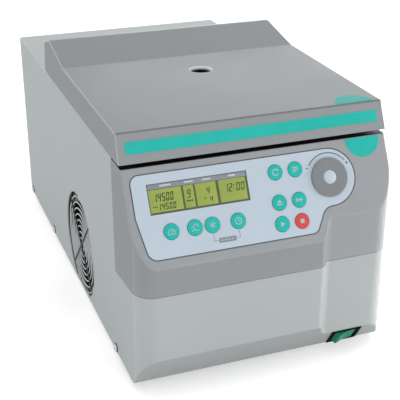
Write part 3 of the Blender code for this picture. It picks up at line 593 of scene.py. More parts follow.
def columns():
    xs = {-140.0 + CORNER * (1 - math.cos(math.radians(a))) for a in range(0, 91, 15)}
    xs |= {-118.0 - 22.0 * math.sin(math.radians(a)) for a in range(0, 91, 5)}
    xs |= {-118.0 + (STEP_A + 118.0) * k / 10 for k in range(11)}
    xs |= {STEP_A + STEP_R * math.sin(STEP_TURN * k / 10) for k in range(11)}
    xs |= {STEP_B - STEP_R * math.sin(STEP_TURN * k / 10) for k in range(11)}
    xs |= {STEP_B + (117.0 - STEP_B) * k / 4 for k in range(5)}
    xs |= {117.0 + 23.0 * math.sin(math.radians(a)) for a in range(0, 91, 5)}
    xs |= {140.0 - CORNER * (1 - math.cos(math.radians(a))) for a in range(0, 91, 15)}
    out = []
    for x in sorted(xs):
        if not out or x - out[-1] > 0.03:
            out.append(x)
    out[-1] = 140.0
    return out


COLUMNS = columns()
WALL_STEPS = (0.0, 0.2, 0.4, 0.6, 0.8, 0.9)


def seam_shift(y, z):
    """The seam between the two halves falls towards the back on the sides."""
    drop = 6.4 * min(1.0, max(0.0, (y + 250.0) / 61.0))
    if z < Z_SPLIT:
        weight = max(0.0, (z - 90.0) / (Z_SPLIT - 90.0))
    else:
        weight = max(0.0, (146.0 - z) / (146.0 - Z_SPLIT))
    return -drop * weight


def front_row(z, inner=False):
    """Plan outline of the moulding at height z, left back to right back."""
    limit = smooth_max(Y_FACE + (z - Z_CREASE) * math.tan(SLOPE),
                       Y_UNDER - (z - Z_BOTTOM) * math.tan(UNDER), 1.0)
    ys = []
    for x in COLUMNS:
        edge = limit + corner_fillet(x + 140.0) + corner_fillet(140.0 - x)
        ys.append(smooth_max(plan_y(x), edge, 1.0))
    if inner:
        front = [(x * 137.0 / 140.0, y + 3.0) for x, y in zip(COLUMNS, ys)]
    else:
        front = list(zip(COLUMNS, ys))
    (x0, y0), (x1, y1) = front[0], front[-1]
    left = [(x0, Y_SIDE + (y0 - Y_SIDE) * t) for t in WALL_STEPS]
    right_wall = [(x1, Y_SIDE + (y1 - Y_SIDE) * t) for t in WALL_STEPS]
    return left + front + right_wall[::-1]


def move_in(points, distance):
    """Offset an open outline inwards (its left-hand side)."""
    if distance == 0:
        return points
    out = []
    for i, p in enumerate(points):
        before, after = Vector(points[max(0, i - 1)]), Vector(points[min(len(points) - 1, i + 1)])
        d = (after - before).normalized()
        out.append((p[0] - d.y * distance, p[1] + d.x * distance))
    out[0] = (out[0][0], Y_SIDE)
    out[-1] = (out[-1][0], Y_SIDE)
    return out


def front_shell(name, rows, z_in_lo, z_in_hi, closed_top, mat):
    """The moulding's wall as one closed mesh: outer rows of (z, inset), an
    inner skin, and the rims between them."""
    bm = bmesh.new()
    outer = [[bm.verts.new((x * MM, y * MM, (z + seam_shift(y, z)) * MM)) for x, y in move_in(front_row(z), d)] for z, d in rows]
    steps = max(2, int((z_in_hi - z_in_lo) / 4))
    inner = [[bm.verts.new((x * MM, y * MM, (z + seam_shift(y, z)) * MM)) for x, y in front_row(z, True)]
             for z in [z_in_lo + (z_in_hi - z_in_lo) * k / steps for k in range(steps + 1)]]
    for grid in (outer, inner):
        for a, b in zip(grid, grid[1:]):
            for i in range(len(a) - 1):
                bm.faces.new((a[i], a[i + 1], b[i + 1], b[i]))
    for a, b in zip(zip(outer[0], inner[0]), list(zip(outer[0], inner[0]))[1:]):
        bm.faces.new((a[0], b[0], b[1], a[1]))
    if closed_top:
        bm.faces.new(outer[-1])
        bm.faces.new(inner[-1])
        loop = [row[0] for row in outer] + [row[-1] for row in outer[::-1]]
        loop += [row[-1] for row in inner] + [row[0] for row in inner[::-1]]
        bm.faces.new(loop)
    else:
        for a, b in zip(zip(outer[-1], inner[-1]), list(zip(outer[-1], inner[-1]))[1:]):
            bm.faces.new((a[0], b[0], b[1], a[1]))
        for side in (0, -1):
            bm.faces.new([row[side] for row in outer] + [row[side] for row in inner[::-1]])
    return as_object(name, bm, WORLD, mat)


def overlay_outline(grow=0.0):
    corners = [(-132.9, 91.0, 9.0), (-132.9, 50.0, 0.0), (-125.2, 8.8, 11.0),
               (48.6, 8.8, 8.0), (61.5, 33.0, 12.0)]
    left = filleted(corners + [(70.0, 33.0, 0.0), (99.0, 62.0, 0.0), (70.0, 91.0, 0.0)], 10)
    points = left[:left.index((70.0, 33.0))] + arc(70.0, 62.0, 29.0, 29.0, -90, 90, 40)
    return inset(points, -grow) if grow else points


KEYS = {
    "key_run_mode": (13.7, 74.5), "key_program": (35.1, 74.6),
    "key_lid_release": (13.0, 44.6), "key_short_spin": (34.3, 44.4),
    "key_start": (12.6, 23.5), "key_stop": (33.8, 23.4),
    "key_speed": (-100.0, 34.0), "key_ramp": (-76.5, 34.1),
    "key_temperature": (-58.8, 33.9), "key_time": (-32.3, 33.8),
}
KNOB_AT = (70.4, 61.9)
LCD = (-117.8, -15.9, 51.3, 81.2)
key_spots = list(KEYS.values())

split = Z_SPLIT + 0.15
upper_rows = [(split, 0.55), (split + 0.16, 0.16), (split + 0.55, 0.0), (122.0, 0.0), (130.0, 0.0), (138.0, 0.0)]
z = 142.0
while z < 224.0:
    upper_rows.append((z, 0.0))
    z += 1.0
upper_rows += [(228.0, 0.0), (231.0, 0.0)]
upper_rows += [(Z_LEDGE - 0.8 + 0.8 * math.sin(math.radians(a)), 0.8 * (1 - math.cos(math.radians(a))))
               for a in range(0, 91, 15)]
upper = front_shell("upper_moulding", upper_rows, split, Z_LEDGE - 3.0, True, DARK)
pocket = prism("cut_pocket", overlay_outline(0.5), -0.6, 4.0, CONTROL)
cut(upper, pocket,
    rods("cut_keys", key_spots, 8.1, -6, 2, CONTROL),
    box("cut_display", (LCD[0] - 0.4, LCD[2] - 0.4, -6), (LCD[1] + 0.4, LCD[3] + 0.4, 2), CONTROL),
    rods("cut_knob", [KNOB_AT], 3.8, -6, 2, CONTROL))
for mat in (BLACK, DARK_WALL_SHADE, DARK_COLUMN_SHADE, LID_SIDE):
    upper.data.materials.append(mat)
for poly in upper.data.polygons:
    n, c = poly.normal, poly.center
    # The ledge top under the lid front is black: painted shade in the gap beneath the lid.
    if n.z > 0.95 and c.z > (Z_LEDGE - 0.05) * MM:
        poly.material_index = 1
    # The left wall takes the rougher lid-side grey, a little darker than the moulding: painted shade on that side.
    elif n.x < -0.97:
        poly.material_index = 4
    # Upright walls take the darker copies: painted shade below the lit sloping panel.
    elif abs(n.z) < 0.2:
        poly.material_index = 2 if c.x < 0.0665 else 3
place(upper, "cabinet", "dark_plastic", "front_panel_upper", angle=28)

split = Z_SPLIT - 0.15
lower_rows = [(Z_BOTTOM, 0.6), (Z_BOTTOM + 0.18, 0.18), (Z_BOTTOM + 0.6, 0.0), (14.0, 0.0), (18.0, 0.0), (22.0, 0.0)]
z = 24.0
while z < 56.0:
    lower_rows.append((z, 0.0))
    z += 0.8
lower_rows += [(h, 0.0) for h in (60.0, 70.0, 85.0, 100.0, 112.0)]
lower_rows += [(split - 0.55, 0.0), (split - 0.16, 0.16), (split, 0.55)]
lower = front_shell("lower_moulding", lower_rows, Z_BOTTOM, split, False, LIGHT)
cut(lower, box("cut_switch", (76.0, 1.6, -8), (109.4, 23.8, 4), UNDERCUT))
lower.data.materials.append(UNDERCUT_SHADE)
lower.data.materials.append(PAINT)
under_normal = Vector((0, -math.cos(UNDER), -math.sin(UNDER)))
for poly in lower.data.polygons:
    # The undercut faces take the darker copy: painted shade under the front.
    if poly.normal.dot(under_normal) > 0.985 and poly.center.z < 0.052:
        poly.material_index = 1
    elif poly.normal.x < -0.985:
        poly.material_index = 2
place(lower, "cabinet", "light_plastic", "front_panel_lower", angle=28)

# =============================================================== keypad film
outline = overlay_outline()
film = prism("keypad_film", inset(outline, 0.75), -0.3, 0.1, CONTROL, FILM)
film_holes = [rods("cut_film_keys", key_spots, 7.95, -2, 2, CONTROL),
              rods("cut_film_knob", [KNOB_AT], 3.9, -2, 2, CONTROL),
              box("cut_film_display", (LCD[0] + 0.3, LCD[2] + 0.3, -2), (LCD[1] - 0.3, LCD[3] - 0.3, 2), CONTROL)]
cut(film, *film_holes)
place(film, "cabinet", "overlay_film", "keypad_overlay")
edge_line = prism("keypad_border", outline, -0.3, 0.12, CONTROL, INK)
cut(edge_line, prism("cut_border", inset(outline, 0.78), -2, 2, CONTROL))
place(edge_line, "cabinet", "overlay_film")

dial_arc = [(KNOB_AT[0] + 24.5 * math.cos(math.radians(a)), KNOB_AT[1] + 24.5 * math.sin(math.radians(a)))
            for a in range(37, 147, 4)]
print_lines = [stroke(dial_arc, 1.0),
               rectangle(46.6, 49.6, 73.3, 74.1),
               rectangle(90.6, 93.6, 73.5, 74.3), rectangle(91.7, 92.5, 72.4, 73.5), rectangle(91.7, 92.5, 74.3, 75.4)]
place(prisms("dial_scale", print_lines, 0.09, 0.16, CONTROL, INK), "cabinet", "overlay_film")
group_lines = [rectangle(-59.5, -58.9, 18.0, 25.0), rectangle(-58.9, -54.9, 18.0, 18.6),
               rectangle(-33.0, -32.4, 18.0, 25.0), rectangle(-36.5, -33.0, 18.0, 18.6),
               rectangle(-54.6, -36.8, 15.7, 20.5)]
place(prisms("group_mark", group_lines, 0.09, 0.15, CONTROL, GREY_INK), "cabinet", "overlay_film")
place(prisms("group_dashes", [rectangle(-52.6 + 3.5 * k, -50.4 + 3.5 * k, 17.5, 18.7) for k in range(4)],
             0.14, 0.19, CONTROL, WHITE_INK), "cabinet", "overlay_film")

# =============================================================== display
display = box("display_frame", (LCD[0], LCD[2], -8.6), (LCD[1], LCD[3], -0.32), CONTROL, SCREEN_EDGE)
bevel(display, 0.25, 2)
place(display, "cabinet", "screen", "lcd_module")
windows = [(-116.5, -83.9), (-81.9, -71.9), (-70.0, -49.0), (-46.2, -18.4)]
panes = boxes("display_windows", [((a, 53.6, -0.45), (b, 75.1, -0.16)) for a, b in windows], CONTROL, SCREEN)
bevel(panes, 0.12, 2)
place(panes, "cabinet", "screen")
strip = box("display_header", (-116.6, 75.6, -0.45), (-17.1, 80.2, -0.14), CONTROL, GREY_INK)
bevel(strip, 0.1, 2)
place(strip, "cabinet", "screen")
marks = [rectangle(a, b, 77.4, 79.0) for a, b in ((-104.7, -93.3), (-80.3, -71.2), (-61.9, -53.3), (-35.1, -28.0))]
place(prisms("display_header_marks", marks, -0.15, -0.09, CONTROL, FILM), "cabinet", "screen")

SEGMENTS = {"0": "abcdef", "1": "bc", "2": "abged", "3": "abgcd", "4": "fgbc", "5": "afgcd",
            "6": "afgedc", "7": "abc", "8": "abcdefg", "9": "abcdfg"}


def digit(char, x, y, w, h, t, lean=0.13):
    """Bars of a seven-segment digit, lower left corner at (x, y)."""
    g = t * 0.18
    m = y + h / 2
    bars = {
        "a": (x + g, x + w - g, y + h - t, y + h, True), "d": (x + g, x + w - g, y, y + t, True),
        "g": (x + g, x + w - g, m - t / 2, m + t / 2, True),
        "f": (x, x + t, m + g, y + h - g, False), "b": (x + w - t, x + w, m + g, y + h - g, False),
        "e": (x, x + t, y + g, m - g, False), "c": (x + w - t, x + w, y + g, m - g, False),
    }
    out = []
    for s in SEGMENTS[char]:
        x0, x1, y0, y1, flat = bars[s]
        c = t * 0.45
        if flat:
            points = [(x0 + c, y0), (x1 - c, y0), (x1, (y0 + y1) / 2), (x1 - c, y1), (x0 + c, y1), (x0, (y0 + y1) / 2)]
        else:
            points = [(x0, y0 + c), ((x0 + x1) / 2, y0), (x1, y0 + c), (x1, y1 - c), ((x0 + x1) / 2, y1), (x0, y1 - c)]
        out.append([(px + (py - y) * lean, py) for px, py in points])
    return out


figures = []
for k, char in enumerate("14500"):
    figures += digit(char, -112.6 + 4.15 * k, 63.4, 3.1, 8.0, 0.95)
for k, char in enumerate("14500"):
    figures += digit(char, -109.2 + 3.75 * k, 55.3, 2.7, 6.3, 0.85)
figures += digit("9", -79.2, 63.1, 3.4, 7.7, 0.9)
figures += digit("4", -59.6, 63.9, 3.2, 6.8, 0.9)
figures += digit("4", -57.0, 56.0, 2.7, 5.5, 0.8)
figures += digit("1", -40.4, 62.8, 2.9, 7.9, 0.9) + digit("2", -36.6, 62.8, 3.3, 7.9, 0.9)
figures += digit("0", -29.0, 62.8, 3.6, 7.9, 0.9) + digit("0", -24.2, 62.8, 3.6, 7.9, 0.9)
figures += [circle(-31.3, 65.0, 0.55, 12), circle(-31.0, 68.6, 0.55, 12)]
figures += [rectangle(-113.9, -112.7, 58.4, 59.2), rectangle(-112.2, -111.0, 58.4, 59.2), rectangle(-110.5, -109.3, 58.4, 59.2)]
figures += [rectangle(-80.3 + 2.4 * k, -78.7 + 2.4 * k, 59.4, 61.0) for k in range(3)]
place(prisms("display_figures", figures, -0.17, -0.10, CONTROL, SEGMENT), "cabinet", "screen")
ring_mark = prism("display_degree", circle(-61.4, 60.0, 0.95, 20), -0.17, -0.10, CONTROL, SEGMENT)
cut(ring_mark, prism("cut_degree", circle(-61.4, 60.0, 0.45, 20), -1, 1, CONTROL))
place(ring_mark, "cabinet", "screen")


# =============================================================== keys
def key_symbol(name):
    """Small generic signs, drawn about the key's centre."""
    if name == "key_start":
        return [[(-1.9, -2.6), (2.9, 0.0), (-1.9, 2.6)]]
    if name == "key_stop":
        return [rectangle(-2.1, 2.1, -2.1, 2.1)]
    if name == "key_lid_release":
        return [[(-2.9, -0.2), (2.9, -0.2), (0.0, 3.0)], rectangle(-2.9, 2.9, -2.4, -1.2)]
    if name == "key_short_spin":
        return [[(-3.4, -2.4), (-0.2, 0.0), (-3.4, 2.4)], [(0.3, -2.4), (3.5, 0.0), (0.3, 2.4)]]
    if name == "key_program":
        return [rectangle(-3.2, 3.2, 1.5, 2.5), rectangle(-3.2, 3.2, -0.5, 0.5), rectangle(-3.2, 1.0, -2.5, -1.5)]
    if name == "key_run_mode":
        return [stroke([(3.0 * math.cos(math.radians(a)), 3.0 * math.sin(math.radians(a))) for a in range(60, 345, 12)], 0.95),
                [(0.7, 1.1), (3.6, 1.4), (2.4, 4.0)]]
    if name == "key_speed":
        return [stroke([(3.4 * math.cos(math.radians(a)), -1.4 + 3.4 * math.sin(math.radians(a))) for a in range(0, 181, 12)], 0.9),
                stroke([(0.0, -1.6), (1.3, 0.6)], 0.9), rectangle(-3.9, 3.9, -2.9, -2.1)]
    if name == "key_ramp":
        return [stroke([(-3.8, 0.6), (-1.9, 0.6), (-0.2, 3.2), (1.8, 3.2), (3.8, 0.6)], 0.85),
                stroke([(-3.8, -2.8), (-2.2, -2.8), (-0.4, -0.6), (1.4, -2.8), (3.8, -2.8)], 0.85)]
    if name == "key_temperature":
        return [stroke([(3.4 * math.cos(math.radians(a + d)), 3.4 * math.sin(math.radians(a + d))) for d in (0, 180)], 0.85)
                for a in (90, 30, 150)]
    ring = [(3.2 * math.cos(math.radians(a)), 3.2 * math.sin(math.radians(a))) for a in range(0, 361, 12)]
    return [stroke(ring, 0.85), stroke([(0.0, 2.1), (0.0, 0.0), (1.5, -0.9)], 0.8)]


for name, (x, y) in KEYS.items():
    red = name == "key_stop"
    profile = [(0, 0.9)] + filleted([(7.6, 0.9, 0.55)] + [(7.6, -3.6, 0), (8.6, -3.6, 0), (8.6, -5.0, 0), (0, -5.0, 0), (0, 0.9, 0)], 4)[:-1]
    cap = lathe(name + "_cap_skin", profile, CONTROL @ shift(x, y, 0), RED if red else TEAL, 48)
    place(cap, name + "_cap", "red_plastic" if red else "teal_plastic", name, angle=40)
    sign = prisms(name + "_sign", key_symbol(name), 0.88, 0.95, CONTROL @ shift(x, y, 0), WHITE_INK)
    place(sign, name + "_cap", "overlay_film")

# =============================================================== dial
profile = filleted([(0, 2.05, 0), (6.9, 2.05, 0), (7.3, 2.4, 0.1), (19.0, 2.4, 0.5), (19.6, 1.7, 0.3), (19.6, 0.5, 0),
                    (3.0, 0.5, 0), (3.0, -8.8, 0), (0, -8.8, 0)], 4)
dial = lathe("dial_wheel", profile, CONTROL @ shift(KNOB_AT[0], KNOB_AT[1], 0), KNOB, 96)
place(dial, "dial", "knob_grey", "speed_knob", angle=40)
inlay = lathe("dial_inlay", [(0, 2.25), (6.5, 2.25), (6.75, 2.1), (6.75, 2.0), (0, 2.0)],
              CONTROL @ shift(KNOB_AT[0], KNOB_AT[1], 0), FILM, 64)
place(inlay, "dial", "overlay_film", angle=40)

# =============================================================== mains switch
switch = box("switch_bezel", (75.2, 0.6, 0.3), (110.2, 24.8, 1.0), UNDERCUT, SWITCH_BLACK)
bevel(switch, 0.35, 2)
join(switch, box("add_body", (76.4, 2.0, -14.0), (109.0, 23.4, 0.5), UNDERCUT))
cut(switch, box("cut_well", (92.7 - 13.3, 3.1, -12.0), (92.7 + 13.3, 22.3, 4.0), UNDERCUT))
place(switch, "cabinet", "black_plastic", "switch_frame")
rocker_shape = filleted([(-10.9, 5.9, 0.7), (-12.4, 0.0, 0.4), (-12.0, -3.0, 0.4), (-8.0, -6.0, 0.4), (8.0, -6.0, 0.4),
                         (12.0, -3.0, 0.4), (12.4, 0.0, 0.4), (10.9, 5.9, 0.7), (0.0, 4.7, 20.0)], 6)
ROCKER = (UNDERCUT @ shift(92.7, 12.6, -3.0) @ axes((1, 0, 0), (0, 0, 1), (0, -1, 0), (0, 0, 0))
          @ Matrix.Rotation(-math.radians(12.7), 4, "Z"))
rocker = prism("rocker_key", rocker_shape, -9.2, 9.2, ROCKER, GREEN)
bevel(rocker, 0.6, 3, 60)
place(rocker, "mains_rocker", "green_plastic", "power_rocker", angle=40, weighted=True)

# =============================================================== cabinet sheet
cover = box("cabinet_cover", (-HALF_W, Y_SIDE, Z_BOTTOM), (HALF_W, Y_BACK, Z_COVER), mat=PAINT)
mod = cover.modifiers.new("Bevel", "BEVEL")
mod.width, mod.segments, mod.limit_method = 2.0 * MM, 5, "WEIGHT"
weights = cover.data.attributes.new("bevel_weight_edge", "FLOAT", "EDGE")
for edge in cover.data.edges:
    a, b = (cover.data.vertices[i].co for i in edge.vertices)
    weights.data[edge.index].value = 1.0 if a.z > 0.1 and b.z > 0.1 and abs(a.x - b.x) < 1e-6 else 0.0
apply(cover)
screws_y = (-181.0, 118.0, 256.0)
cut(cover,
    box("cut_inside", (-138.5, -300, 0), (138.5, 300, Z_COVER - 1.5)),
    box("cut_top", (-138.5, -300, 200), (138.5, 100.4, 260)),
    prism("cut_fan", [(x - 1.4, max(y, 11.8 - FAN_Z)) for x, y in circle(0, 0, 62.5, 120)], -12, 6, FAN),
    rods("cut_screws", [(y, 15.0) for y in screws_y], 2.1, -150, 150, SECTION, 20),
    boxes("cut_vents", [((130, 136 + 12 * k, 60), (150, 139.2 + 12 * k, 112)) for k in range(9)]))
cover.data.materials.append(PAINT_TOP_HIGHLIGHT)
# Upward faces and the bevels of the top edges take the lighter copy: painted highlight.
for poly in cover.data.polygons:
    if poly.normal.z > 0.3:
        poly.material_index = 1
place(cover, "cabinet", "light_paint", "housing_cover", angle=30, weighted=True)

# =============================================================== side fan
RINGS = [8.2 + 7.0 * k for k in range(8)]
guard = hoop("guard_rings", RINGS, 0.7, -2.1, FAN, WIRE, 120, 8)
cut(guard, box("cut_guard_low", (-70, -70, -6), (70, 12.0 - FAN_Z, 2), FAN))
BAR = filleted([(-73.0, -2.6, 0), (-59.5, -2.6, 3.0), (-55.5, -1.05, 3.0), (55.5, -1.05, 3.0), (59.5, -2.6, 3.0), (73.0, -2.6, 0)], 4)
# The cross bars take the dark copy: painted shade.
bars = wire("guard_bars", [(x, 0.0, h) for x, h in BAR], 1.05, FAN @ Matrix.Rotation(math.radians(45), 4, "Z"), GUARD_BAR_SHADE)
bars_b = wire("guard_bars_b", [(x, 0.0, h) for x, h in BAR], 1.0, FAN @ Matrix.Rotation(math.radians(-45), 4, "Z"), GUARD_BAR_SHADE)
join(bars, bars_b)
place(guard, "cabinet", "zinc", "fan_guard", angle=50)
place(bars, "cabinet", "zinc", angle=40)

fan_box = box("fan_housing", (-54.5, -54.5, -28.7), (54.5, 54.5, -3.7), FAN, BLACK)
bevel(fan_box, 3.0, 3, 80)
cut(fan_box, rods("cut_duct", [(0, 0)], 51.0, -40, 10, FAN, 72),
    rods("cut_corners", [(sx * 48, sy * 48) for sx in (-1, 1) for sy in (-1, 1)], 2.2, -40, 10, FAN, 16))
join(fan_box, box("add_strut_a", (-52.5, -3, -28.7), (52.5, 3, -25.5), FAN @ Matrix.Rotation(0.35, 4, "Z")),
     box("add_strut_b", (-3, -52.5, -28.6), (3, 52.5, -25.6), FAN @ Matrix.Rotation(0.35, 4, "Z")),
     rods("add_motor", [(0, 0)], 19.0, -28.8, -24.0, FAN, 48))
place(fan_box, "cabinet", "black_plastic", "fan_frame", angle=35)


def impeller_blade(bm, turn):
    """A twisted, slightly hollow blade from the hub to the tip."""
    grid = []
    for i in range(9):
        r = 18.5 + (49.0 - 18.5) * i / 8
        pitch = math.radians(46 - 20 * i / 8)
        chord = 17.0 + 8.0 * i / 8
        low, high = [], []
        for j in range(9):
            s = j / 8 - 0.5
            c = s * chord
            sag = (0.25 - s * s) * 4.0
            t = 0.7 * (1.0 - 1.6 * s * s)
            for side, store in ((-1, low), (1, high)):
                h = -sag + side * t
                x, y, zz = r, c * math.cos(pitch) - h * math.sin(pitch), c * math.sin(pitch) + h * math.cos(pitch)
                a = y / r
                store.append(bm.verts.new(turn @ Vector((r * math.cos(a) * MM, r * math.sin(a) * MM, (zz - 15.0) * MM))))
        grid.append((low, high))
    for (l0, h0), (l1, h1) in zip(grid, grid[1:]):
        for j in range(8):
            bm.faces.new((l0[j], l0[j + 1], l1[j + 1], l1[j]))
            bm.faces.new((h0[j], h1[j], h1[j + 1], h0[j + 1]))
        bm.faces.new((l0[0], l1[0], h1[0], h0[0]))
        bm.faces.new((l0[8], h0[8], h1[8], l1[8]))
    for low, high in (grid[0], grid[-1]):
        bm.faces.new(low + high[::-1])


hub = lathe("fan_rotor", filleted([(0, -6.5, 0), (20.0, -6.5, 1.6), (20.0, -23.5, 0), (0, -23.5, 0)], 5), FAN, BLACK, 64)
bm = bmesh.new()
for k in range(7):
    impeller_blade(bm, Matrix.Rotation(2 * math.pi * k / 7, 4, "Z"))
blades = as_object("add_blades", bm, FAN, BLACK)
join(hub, blades)
place(hub, "fan", "black_plastic", "fan_impeller", angle=40)

# =============================================================== lid
lid_points = filleted([(100.0, 237.0, 0), (100.0, 273.7, 7.0), (88.0, 278.1, 14.0), (80.0, 280.6, 14.0),
                       (73.0, 281.9, 12.0), (3.0, 268.2, 26.0), (-209.2, 266.3, 0), (-221.46, 237.0, 0)], 6)


def lid_prism(name, points, half, mat, taper=True):
    obj = prism(name, points, -half, half, SECTION, mat)
    if taper:
        rate = 0.8 / 26.3 / 141.4
        for vert in obj.data.vertices:
            vert.co.z *= 1.0 - rate * (vert.co.y / MM - 240.0)
    return obj


lid = lid_prism("lid_shell", lid_points, 141.4, LID)
bevel(lid, 2.0, 5, 38)
hollow = [(-217.95, 236.0), (-206.9, 263.2), (3.2, 265.15), (72.6, 278.65), (80.0, 277.3), (88.0, 274.8), (93.0, 272.3),
          (96.0, 268.6), (97.0, 264.0), (97.2, 253.0), (97.8, 236.0)]
cut(lid, prism("cut_low", [(-240.0, 238.56), (-240.0, 225.0), (115.0, 225.0), (115.0, 239.33)], -150, 150, SECTION),
    lid_prism("cut_hollow", hollow, 138.4, None, False),
    rods("cut_port", [(AXIS_X, AXIS_Y)], 13.4, 255, 290, WORLD, 96))
for mat in (LID_SIDE, LID_EDGE_HIGHLIGHT, LID_FRONT_EDGE_SHADE):
    lid.data.materials.append(mat)
for poly in lid.data.polygons:
    n, c = poly.normal, poly.center
    if abs(n.z) > 0.97:
        poly.material_index = 1
    # Bevels along the side edges take the lighter copy: painted highlight.
    elif abs(n.z) > 0.25 and c.y > 0.2385:
        poly.material_index = 2
    # The top front edge bevel takes the darker copy: painted shade line.
    elif c.x < -0.2 and c.y > 0.262 and -0.80 < n.x < -0.16:
        poly.material_index = 3
place(lid, "lid", "dark_plastic", "lid_cover", angle=30, weighted=True)

stripe = prism("lid_stripe", filleted([(-132.4, 7.4, 0.5), (132.4, 7.4, 0.5), (132.4, 19.2, 0.5), (-132.4, 19.2, 0.5)], 3),
               -0.05, 0.25, LID_FRONT, TEAL)
place(stripe, "lid", "teal_plastic")
patch_points = [(x, y) for x, y in arc(111.0, 3.2, 20.0, 20.0, -11, 191, 48)]
patch_points = [(x, max(2.4, y)) for x, y in patch_points]
place(prism("lid_patch", patch_points, -0.05, 0.2, LID_TOP, TEAL), "lid", "teal_plastic")
half_disc = arc(113.0, 96.0, 19.0, 19.0, -180 - 8, 8, 48)
half_disc = [(x, min(97.0, y)) for x, y in half_disc]
place(prism("front_patch", half_disc, -0.05, 0.2, CONTROL, TEAL), "cabinet", "teal_plastic")

# liner, with the ears that take the hinge rod
liner = box("lid_liner_tray", (-135.8, -213.0, 241.0), (135.8, 56.0, 243.5), mat=LIGHT)
bevel(liner, 0.8, 3)
boss = lathe("add_boss", filleted([(0, 241.5, 0), (108.0, 241.5, 0), (108.0, 236.3, 1.0), (0, 236.3, 0)][::1], 4), AXIS, LIGHT, 96)
ear = ([(42.4, 241.2), (52.4, 241.2), (84.4, 243.2)] + arc(HINGE_Y, HINGE_Z, 4.2, 4.2, -115, 110, 14) + [(42.4, 251.5)])
join(liner, boss, prism("add_ear_a", ear, -65.4, -60.0, SECTION), prism("add_ear_b", ear, 60.0, 65.4, SECTION))
cut(liner, rods("cut_ear", [(HINGE_Y, HINGE_Z)], 2.3, -90, 90, SECTION, 32),
    rods("cut_port", [(AXIS_X, AXIS_Y)], 13.4, 230, 250, WORLD, 72))
place(liner, "lid", "light_plastic", "lid_liner", angle=30, weighted=True)

tube_profile = [(13.2, 262.8), (13.2, 245.2), (16.5, 245.2), (16.5, 243.7), (13.2, 243.7), (13.2, 236.6), (11.0, 236.6),
                (11.0, 237.8), (12.2, 237.8), (12.2, 262.8)]
# The tube is coloured black though it belongs to the light window ring: painted shade inside the port below the light
# rim.
port = lathe("port_tube", tube_profile, AXIS, BLACK, 96, ring=True)
place(port, "lid", "light_plastic", "window_ring", angle=40)
rim_profile = filleted([(13.35, 267.6, 0.1), (13.35, 263.7, 0), (11.5, 263.7, 0), (11.5, 265.5, 0.5), (13.15, 267.6, 0.1)], 4)
place(lathe("port_rim", rim_profile, AXIS, PORT_RIM, 96, ring=True), "lid", "light_plastic", angle=40)
glass = lathe("port_window", filleted([(0, 240.6, 0), (11.6, 240.6, 0.4), (11.6, 238.2, 0.4), (0, 238.2, 0)], 3), AXIS, CLEAR, 64)
place(glass, "lid", "clear_plastic", "lid_window", angle=40)
seal = lathe("lid_gasket", filleted([(104, 236.0, 0), (104, 234.4, 0.8), (102.4, 232.8, 0.8), (99.6, 232.8, 0.8),
                                     (98, 234.4, 0.8), (98, 236.0, 0)], 4), AXIS, RUBBER, 120, ring=True)
place(seal, "lid", "rubber", "lid_seal", angle=50)

# =============================================================== chamber
deck = box("chamber_tray", (-138.2, -188.7, 226.0), (138.2, 100.0, 238.0), mat=DARK)
cut(deck, box("cut_top", (-135.2, -185.7, 231.0), (135.2, 120, 250)),
    box("cut_rear", (-150, 80.4, 231.0), (150, 120, 250)),
    box("cut_under", (-135.2, -185.7, 220), (135.2, 97.0, 228)),
    rods("cut_bowl", [(AXIS_X, AXIS_Y)], 98.0, 220, 240, WORLD, 120),
    box("cut_slot", (LOCK_X - 8.0, -185.2, 220), (LOCK_X + 8.0, -162.0, 240)))
bevel(deck, 0.5, 2)
# The deck's outer side and front walls are black: painted shade in the gap between lid, side sheet and front moulding.
deck.data.materials.append(BLACK)
for poly in deck.data.polygons:
    if poly.normal.z < 0.5 and (abs(poly.center.x) > 138.0 * MM or poly.center.y < -188.4 * MM):
        poly.material_index = 1
place(deck, "cabinet", "dark_plastic", "chamber_deck", angle=30, weighted=True)

bowl = lathe("chamber_bowl", filleted([(107.0, 232.5, 0.4), (107.0, 231.3, 0.4), (96.4, 231.3, 0), (96.4, 152.0, 4.0),
                                       (90.0, 145.6, 3.0), (14.0, 145.6, 0), (14.0, 147.0, 0), (89.0, 147.0, 5.0),
                                       (95.0, 153.0, 4.0), (95.0, 232.5, 1.2)], 6), AXIS, STEEL, 128, ring=True)
place(bowl, "cabinet", "stainless", "rotor_bowl", angle=35)

rotor = lathe("angle_rotor", filleted([(80, 205, 0.8), (80, 199, 1.0), (54, 160, 3.0), (48, 156, 2.0), (6.2, 156, 0), (6.2, 190, 0),
                                       (14, 190, 0.5), (20, 181, 3.0), (30, 178, 3.0), (75, 203.5, 1.0), (77, 205, 0.5)], 4),
              AXIS, ALUMINIUM, 128, ring=True)
place(rotor, "rotor_assembly", "aluminium", "rotor", angle=35)
cover_profile = filleted([(24, 213.5, 0.5), (28, 210.8, 1.5), (52.0, 209.7, 0.5), (53.0, 210.6, 0.4), (56.0, 210.45, 0.4),
                          (57.0, 209.45, 0.5), (76, 208.6, 1.0), (79.4, 207.4, 0.6), (80, 206.4, 0.2), (80, 205.4, 0),
                          (26, 205.4, 0), (20, 191.2, 0), (7.4, 191.2, 0), (7.4, 213.5, 0)], 4)
place(lathe("rotor_cap", cover_profile, AXIS, BLACK, 128, ring=True), "rotor_assembly", "black_plastic", "rotor_lid", angle=35)
knurl = []
for k in range(120):
    a = 2 * math.pi * k / 120
    r = 16.9 if (k % 5) in (0, 1, 2) else 15.9
    knurl.append((r * math.cos(a), r * math.sin(a)))
nut = prism("cap_nut", knurl, 213.9, 224.5, AXIS, BLACK)
bevel(nut, 0.5, 2, 60)
join(nut, lathe("add_stem", [(0, 215.0), (6.0, 215.0), (6.0, 186.5), (0, 186.5)], AXIS, BLACK, 48))
place(nut, "rotor_assembly", "black_plastic", "rotor_nut", angle=35)


